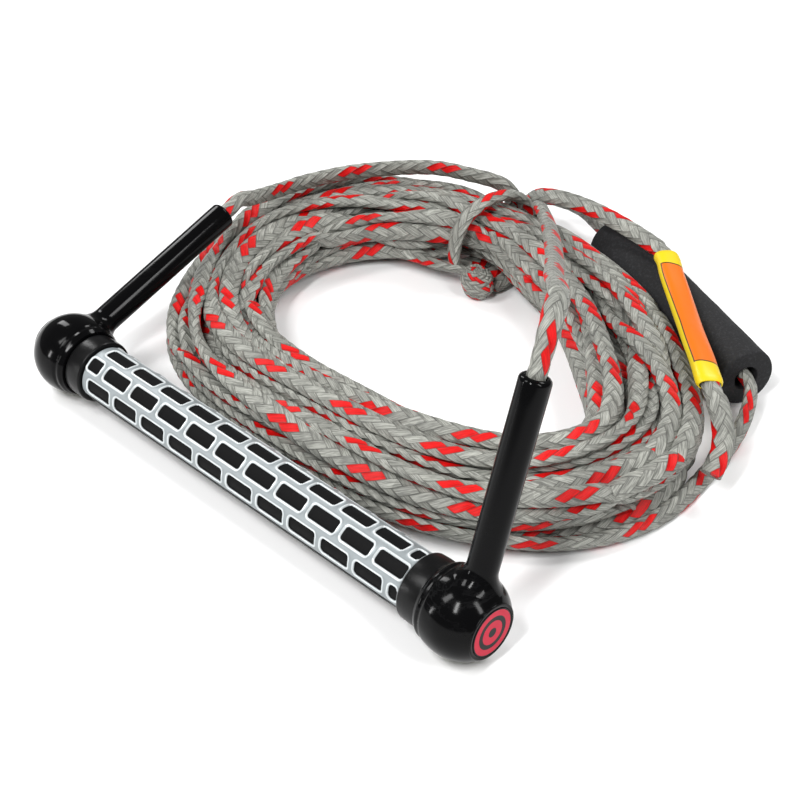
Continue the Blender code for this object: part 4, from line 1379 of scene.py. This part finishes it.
    def build(self) -> None:
        """Builds the cap and its badge, and lets both ride on the cap's body."""
        centre, out, up_arm = bar_frame(self.side, self.rise)
        bulb = turned_grid(self.bulb_profile(), centre, out, up_arm, sides=128)
        cap = build_piece(f"{self.name}_cap_moulding", [bulb, self.arm_grid()])
        set_in(cap, f"{self.name}_cap", GLOSS_BLACK, [f"{self.name}_end_cap"])
        radius, top, floor = self.badge_radius, self.badge_face, self.recess_floor + 0.0003
        rings = np.stack([np.linspace(0, radius - 0.0003, 24), np.full(24, top)], axis=-1)
        edge = arc((radius - 0.0003, top - 0.0003), 0.0003, 80, 0, 5)
        profile = np.vstack([rings, edge, [[radius, floor], [0, floor]]])
        badge = turned_grid(profile, centre, out, up_arm, sides=96)
        face = build_piece(f"{self.name}_badge_disc", [badge])
        set_in(face, f"{self.name}_cap", BADGE, [f"{self.name}_badge"])


@dataclass
class Collar:
    """The satin ring between grip and bulb, with soft edges."""

    side: int
    start: float = 0.1175
    end: float = 0.1290
    radius: float = 0.0173
    bore: float = 0.0113

    def build(self) -> None:
        """A turned ring: a wall that swells by a sine over its length, and rounded edges."""
        places = np.linspace(self.end - 0.0008, self.start + 0.0008, 60)
        swell = 0.0003 * np.sin(np.pi * (places - self.start) / (self.end - self.start))
        wall = np.stack([self.radius - 0.0003 + swell, places], axis=-1)
        high = arc((self.radius - 0.0012, self.end - 0.0010), 0.0010, 90, 10, 6)
        low = arc((self.radius - 0.0012, self.start + 0.0010), 0.0010, -10, -90, 6)
        profile = np.vstack([[[self.bore, self.end]], high, wall, low, [[self.bore, self.start]]])
        centre, out, up_arm = bar_frame(self.side)
        name = side_name(self.side)
        piece = build_piece(f"{name}_collar_ring", [turned_grid(profile, centre, out, up_arm, ring=True)])
        set_in(piece, "bar", SATIN_BLACK, [f"{name}_collar"])


@dataclass
class Grip:
    """The rubber grip sleeve and the raised lattice bonded over it.

    Attributes:
        half: half its length.
        rubber, underside: radius under the lattice and along the smooth underside.
        base, top: the lattice's inner radius and its height at a rim.
        first, last: the angles that the lattice spans, measured up from the front of the bar.
        first_window: where an even row's first window starts; an odd row's is odd_shift along.
    """

    half: float = 0.1170
    rubber: float = 0.0140
    underside: float = 0.0151
    bore: float = 0.0113
    base: float = 0.01422
    valley: float = 0.01500
    top: float = 0.01545
    first: float = math.radians(-21)
    last: float = math.radians(217)
    rows: int = 5
    row_first: float = math.radians(8)
    row_pitch: float = math.radians(45)
    window_high: float = 0.0068
    window_long: float = 0.0180
    pitch: float = 0.02224
    first_window: float = -0.1118
    odd_shift: float = -0.0128
    edge: float = 0.0012
    corner: float = 0.0016

    def cell_distance(self, x: Array, angle: Array) -> Array:
        """Signed distance to the nearest cell's edge, under 0 inside a cell.

        A cell is a rounded rectangle: with d the offset beyond its inner box, the distance is
        the length of max(d, 0), plus min(max(d), 0), less the corner radius.
        """
        limit = self.half - self.edge
        rib = self.pitch - self.window_long
        nearest = np.full(np.broadcast(x, angle).shape, np.inf)
        for row in range(self.rows):
            middle = self.row_first + row * self.row_pitch
            start = self.first_window + (self.odd_shift if row % 2 else 0.0)
            number = np.clip(np.floor((x - start + rib / 2) / self.pitch), 0, 10)
            low = np.maximum(start + number * self.pitch, -limit)
            high = np.minimum(start + number * self.pitch + self.window_long, limit)
            dx = np.abs(x - (low + high) / 2) - (high - low) / 2 + self.corner
            dy = np.abs(angle - middle) * self.rubber - self.window_high / 2 + self.corner
            outside = np.hypot(np.maximum(dx, 0), np.maximum(dy, 0))
            nearest = np.minimum(nearest, outside + np.minimum(np.maximum(dx, dy), 0) - self.corner)
        return nearest

    def surface_height(self, distance: Array) -> Array:
        """Radius of the lattice's outside: floor in a cell, a rim round it, a valley between rims."""
        rim = np.exp(-(((distance - 0.00062) / 0.00050) ** 2))
        wall = smoothstep((distance + 0.00025) / 0.0005)
        return self.base + 0.0001 + (self.valley - self.base - 0.0001 + (self.top - self.valley) * rim) * wall

    def lattice_grid(self) -> list[Grid]:
        """Outside, inside and four edges of the lattice as one closed grid of rows round the bar."""
        centre, _, _ = bar_frame(1)
        x = np.linspace(-self.half, self.half, 380)[:, None]
        angle = np.linspace(self.first, self.last, 118)[None, :]
        distance = self.cell_distance(x, angle)
        side = np.minimum(angle - self.first, self.last - angle) * self.rubber
        edge = np.minimum(self.half - np.abs(x), side)
        rounded = np.sqrt(np.clip(edge / 0.0006, 0.0, 1.0))
        radius = self.base + (self.surface_height(distance) - self.base) * np.maximum(rounded, 0.02)
        lip = np.exp(-(((side - 0.0012) / 0.0003) ** 2))
        radius = radius - 0.00045 * lip
        inner = np.full_like(radius, self.base - 0.00005)
        radius = np.concatenate([radius, inner[:, ::-1]], axis=1)
        angles = np.broadcast_to(np.concatenate([angle, angle[:, ::-1]], axis=1), radius.shape)
        places = np.broadcast_to(x, radius.shape)
        points = centre + np.stack([places, -radius * np.cos(angles), radius * np.sin(angles)], axis=-1)
        marks = np.concatenate([distance * 1000, np.full_like(distance, 1.0)], axis=1)
        return [Grid(points[:, ::-1], None, marks={"edge_mm": marks[:, ::-1]}, cap_ends=True)]

    def sleeve_grid(self) -> Grid:
        """The sleeve: under the lattice it is sunk, and along the underside it stands proud."""
        centre, _, _ = bar_frame(1)
        angle = np.linspace(0, TAU, 240, endpoint=False) + self.first
        beyond = np.minimum(np.mod(angle - self.last, TAU), np.mod(self.first - angle, TAU)) * self.rubber
        proud = smoothstep(beyond / 0.0008) * (np.mod(angle - self.first, TAU) > self.last - self.first)
        outer = self.rubber + (self.underside - self.rubber) * proud
        along = np.linspace(-self.half, self.half, 24)
        soft = 0.0006 * (1 - np.sqrt(np.clip((self.half - np.abs(along)) / 0.001, 0, 1)))
        rows_out = outer[None, :] - soft[:, None]
        rows = np.concatenate([rows_out, np.full_like(rows_out, self.bore)[::-1]])
        places = np.concatenate([along, along[::-1]])[:, None] + 0 * rows
        points = centre + np.stack([places, -rows * np.cos(angle), rows * np.sin(angle)], axis=-1)
        return Grid(points[:, ::-1], wrap_rows=True)

    def build(self) -> None:
        """Builds the sleeve and the lattice."""
        sleeve = build_piece("grip_sleeve_rubber", [self.sleeve_grid()])
        set_in(sleeve, "bar", GRIP_RUBBER, ["grip_sleeve"])
        lattice = build_piece("grip_lattice_skin", self.lattice_grid())
        set_in(lattice, "bar", LATTICE, ["grip_lattice"])


# ------------------------------------------------------------------------------------------
# Float and printed sleeve
# ------------------------------------------------------------------------------------------
@dataclass
class TowFloat:
    """The foam float: a thick tube with a soft outer edge and a cut bore."""

    line: MainLine
    radius: float = 0.0165
    bore: float = 0.0068

    def build(self) -> None:
        """A turned closed ring; its wall is a little uneven, as cut foam is."""
        half = self.line.float_length / 2
        centre = placed([self.line.float_near])[0] + self.line.float_axis() * half
        edge = 0.0016
        high = arc((self.radius - edge, half - edge), edge, 90, 0, 10)
        places = np.linspace(half - edge, edge - half, 60)[1:-1]
        wave = 0.00008 * np.sin(places * 210) + 0.00005 * np.sin(places * 530 + 1)
        wall = np.stack([self.radius + wave, places], axis=-1)
        low = arc((self.radius - edge, edge - half), edge, 0, -90, 10)
        mouth_low = arc((self.bore + 0.0006, -half + 0.0006), 0.0006, -90, -180, 5)
        mouth_high = arc((self.bore + 0.0006, half - 0.0006), 0.0006, 180, 90, 5)
        inner = np.stack([np.full(8, self.bore), np.linspace(-half + 0.001, half - 0.001, 8)], axis=-1)
        profile = np.vstack([high, wall, low, mouth_low, inner, mouth_high])
        grid = turned_grid(profile, centre, self.line.float_axis(), UP, ring=True)
        piece = build_piece("foam_float", [grid])
        set_in(piece, "tow_float", FLOAT_FOAM, ["tow_float"])


@dataclass
class PrintedSleeve:
    """The flat printed sleeve shrunk on the tow loop."""

    line: MainLine
    half_wide: float = 0.0073
    half_thick: float = 0.0042
    wall: float = 0.0006
    facing: Point = (0.62, -0.30, 0.72)

    def build(self) -> None:
        """Sweeps a flattened ring along the rope and closes both ends on the rope's own size.

        The section is the superellipse x = a |cos|^0.8, y = b |sin|^0.9, with signs kept.
        """
        fine = refine(placed(self.line.tow_route()), 0.0015)
        first, last = (nearest_point(fine, end) for end in placed(self.line.label_ends))
        path = softened(fine[first:last + 1], 10)
        tangent = unit(np.gradient(path, axis=0))
        normal = unit(np.array(self.facing) - tangent * (tangent @ np.array(self.facing))[:, None])
        wide = np.cross(normal, tangent)
        sides = 64
        angle = np.linspace(0, TAU, sides, endpoint=False)
        cosine = np.sign(np.cos(angle)) * np.abs(np.cos(angle)) ** 0.8
        sine = np.sign(np.sin(angle)) * np.abs(np.sin(angle)) ** 0.9
        share = np.linspace(0, 1, len(path))
        end_dip = 0.0008 * (1 - np.sqrt(np.clip(np.minimum(share, 1 - share) / 0.02, 0, 1)))

        def ring(shrink: Array) -> Array:
            """The section's points at every station, shrunk by an amount."""
            a, b = self.half_wide - shrink, self.half_thick - shrink
            return (path[:, None] + wide[:, None] * (a[:, None] * cosine)[..., None]
                    + normal[:, None] * (b[:, None] * sine)[..., None])

        outer, inner = ring(end_dip), ring(end_dip + self.wall)
        points = np.concatenate([outer, inner[::-1]])[:, ::-1]
        around = 1 - np.arange(sides + 1) / sides - 1 / sides
        u = np.concatenate([share, share[::-1], share[:1]])
        uv = np.stack(np.meshgrid(u, around, indexing="ij"), axis=-1)
        piece = build_piece("printed_shrink_sleeve", [Grid(points, uv, wrap_rows=True)])
        set_in(piece, "bar", SLEEVE_VINYL, ["printed_sleeve"])


# ------------------------------------------------------------------------------------------
# Studio
# ------------------------------------------------------------------------------------------
@dataclass
class Studio:
    """Camera, floor and lights."""

    camera_place: Point = (0.52034, -0.41789, 0.55175)
    camera_aim: Point = (0.03657, 0.06713, 0.04854)
    lens: float = 77.85
    world: float = 0.2

    def camera(self) -> None:
        """A camera that looks down on the handle from its right front."""
        data = bpy.data.cameras.new("camera")
        data.lens = self.lens
        data.sensor_width = 36.0
        camera = bpy.data.objects.new("camera", data)
        bpy.context.scene.collection.objects.link(camera)
        place, aim = placed([self.camera_place, self.camera_aim])
        camera.location = place
        camera.rotation_euler = Vector(aim - place).to_track_quat("-Z", "Y").to_euler()
        bpy.context.scene.camera = camera

    def floor(self) -> None:
        """A wide pale floor."""
        half = 6.0
        mesh = bpy.data.meshes.new("floor")
        corners = [(-half, -half, 0), (half, -half, 0), (half, half, 0), (-half, half, 0)]
        mesh.from_pydata(corners, [], [(0, 1, 2, 3)])
        floor = bpy.data.objects.new("floor", mesh)
        floor.location = (0, 0, -0.0002)
        bpy.context.scene.collection.objects.link(floor)
        material = bpy.data.materials.new("pale_floor")
        material.use_nodes = True
        shader = material.node_tree.nodes["Principled BSDF"]
        shader.inputs["Base Color"].default_value = (0.86, 0.86, 0.86, 1.0)
        shader.inputs["Roughness"].default_value = 0.6
        mesh.materials.append(material)

    def light(self, name: str, place: Point, aim: Point, size: tuple[float, float], power: float) -> None:
        """One soft rectangular light, pointed at a place."""
        data = bpy.data.lights.new(name, "AREA")
        data.shape = "RECTANGLE"
        data.size, data.size_y = size
        data.energy = power
        light = bpy.data.objects.new(name, data)
        light.location = place
        light.rotation_euler = (Vector(aim) - Vector(place)).to_track_quat("-Z", "Y").to_euler()
        bpy.context.scene.collection.objects.link(light)

    def build(self) -> None:
        """Sets up the whole studio."""
        self.camera()
        self.floor()
        world = bpy.data.worlds.new("studio")
        world.use_nodes = True
        background = world.node_tree.nodes["Background"]
        background.inputs["Color"].default_value = (1.0, 1.0, 1.0, 1.0)
        background.inputs["Strength"].default_value = self.world
        bpy.context.scene.world = world
        bpy.context.scene.view_settings.view_transform = "Standard"
        coil = (0, 0.1, 0)
        self.light("key", (0.30, -0.80, 1.05), coil, (0.16, 0.55), 13.0)
        self.light("front", (-0.45, -0.70, 1.20), coil, (0.30, 0.55), 9.0)
        self.light("low", (-0.70, -1.05, 0.26), (0, 0, 0.03), (0.07, 0.32), 2.5)
        self.light("right", (1.10, 0.05, 1.05), coil, (0.22, 0.70), 10.0)
        self.light("back", (0.10, 1.15, 1.20), coil, (0.80, 0.30), 12.0)
        self.light("left", (-1.20, 0.25, 0.95), coil, (0.25, 0.60), 7.0)


def dress_inner_nodes() -> None:
    """Gives every CAD node that stays its finish."""
    finishes = {
        "bar_tube": TUBE_METAL, "foam_core": CORE_FOAM, "rope_in_bar": ROPE,
        "left_bar_bush": WHITE_PLASTIC, "right_bar_bush": WHITE_PLASTIC,
        "left_rope_guide": WHITE_PLASTIC, "right_rope_guide": WHITE_PLASTIC,
        "rope_in_left_arm": ROPE, "rope_in_right_arm": ROPE,
    }
    for name, finish in finishes.items():
        dress(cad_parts[name], finish)


def main() -> None:
    """Builds the studio, the cords, the handle and what is on the rope."""
    logging.basicConfig(level=logging.INFO, format="%(name)s: %(message)s")
    Studio().build()
    line = MainLine()
    line.build()
    for leg in (RIGHT_LEG, LEFT_LEG):
        leg.build()
    BridleSplice().build()
    Grip().build()
    for side, rise in ((-1, LEFT_RISE), (1, RIGHT_RISE)):
        Collar(side).build()
        EndCap(side, rise).build()
    TowFloat(line).build()
    PrintedSleeve(line).build()
    dress_inner_nodes()


if __name__ == "__main__":
    main()
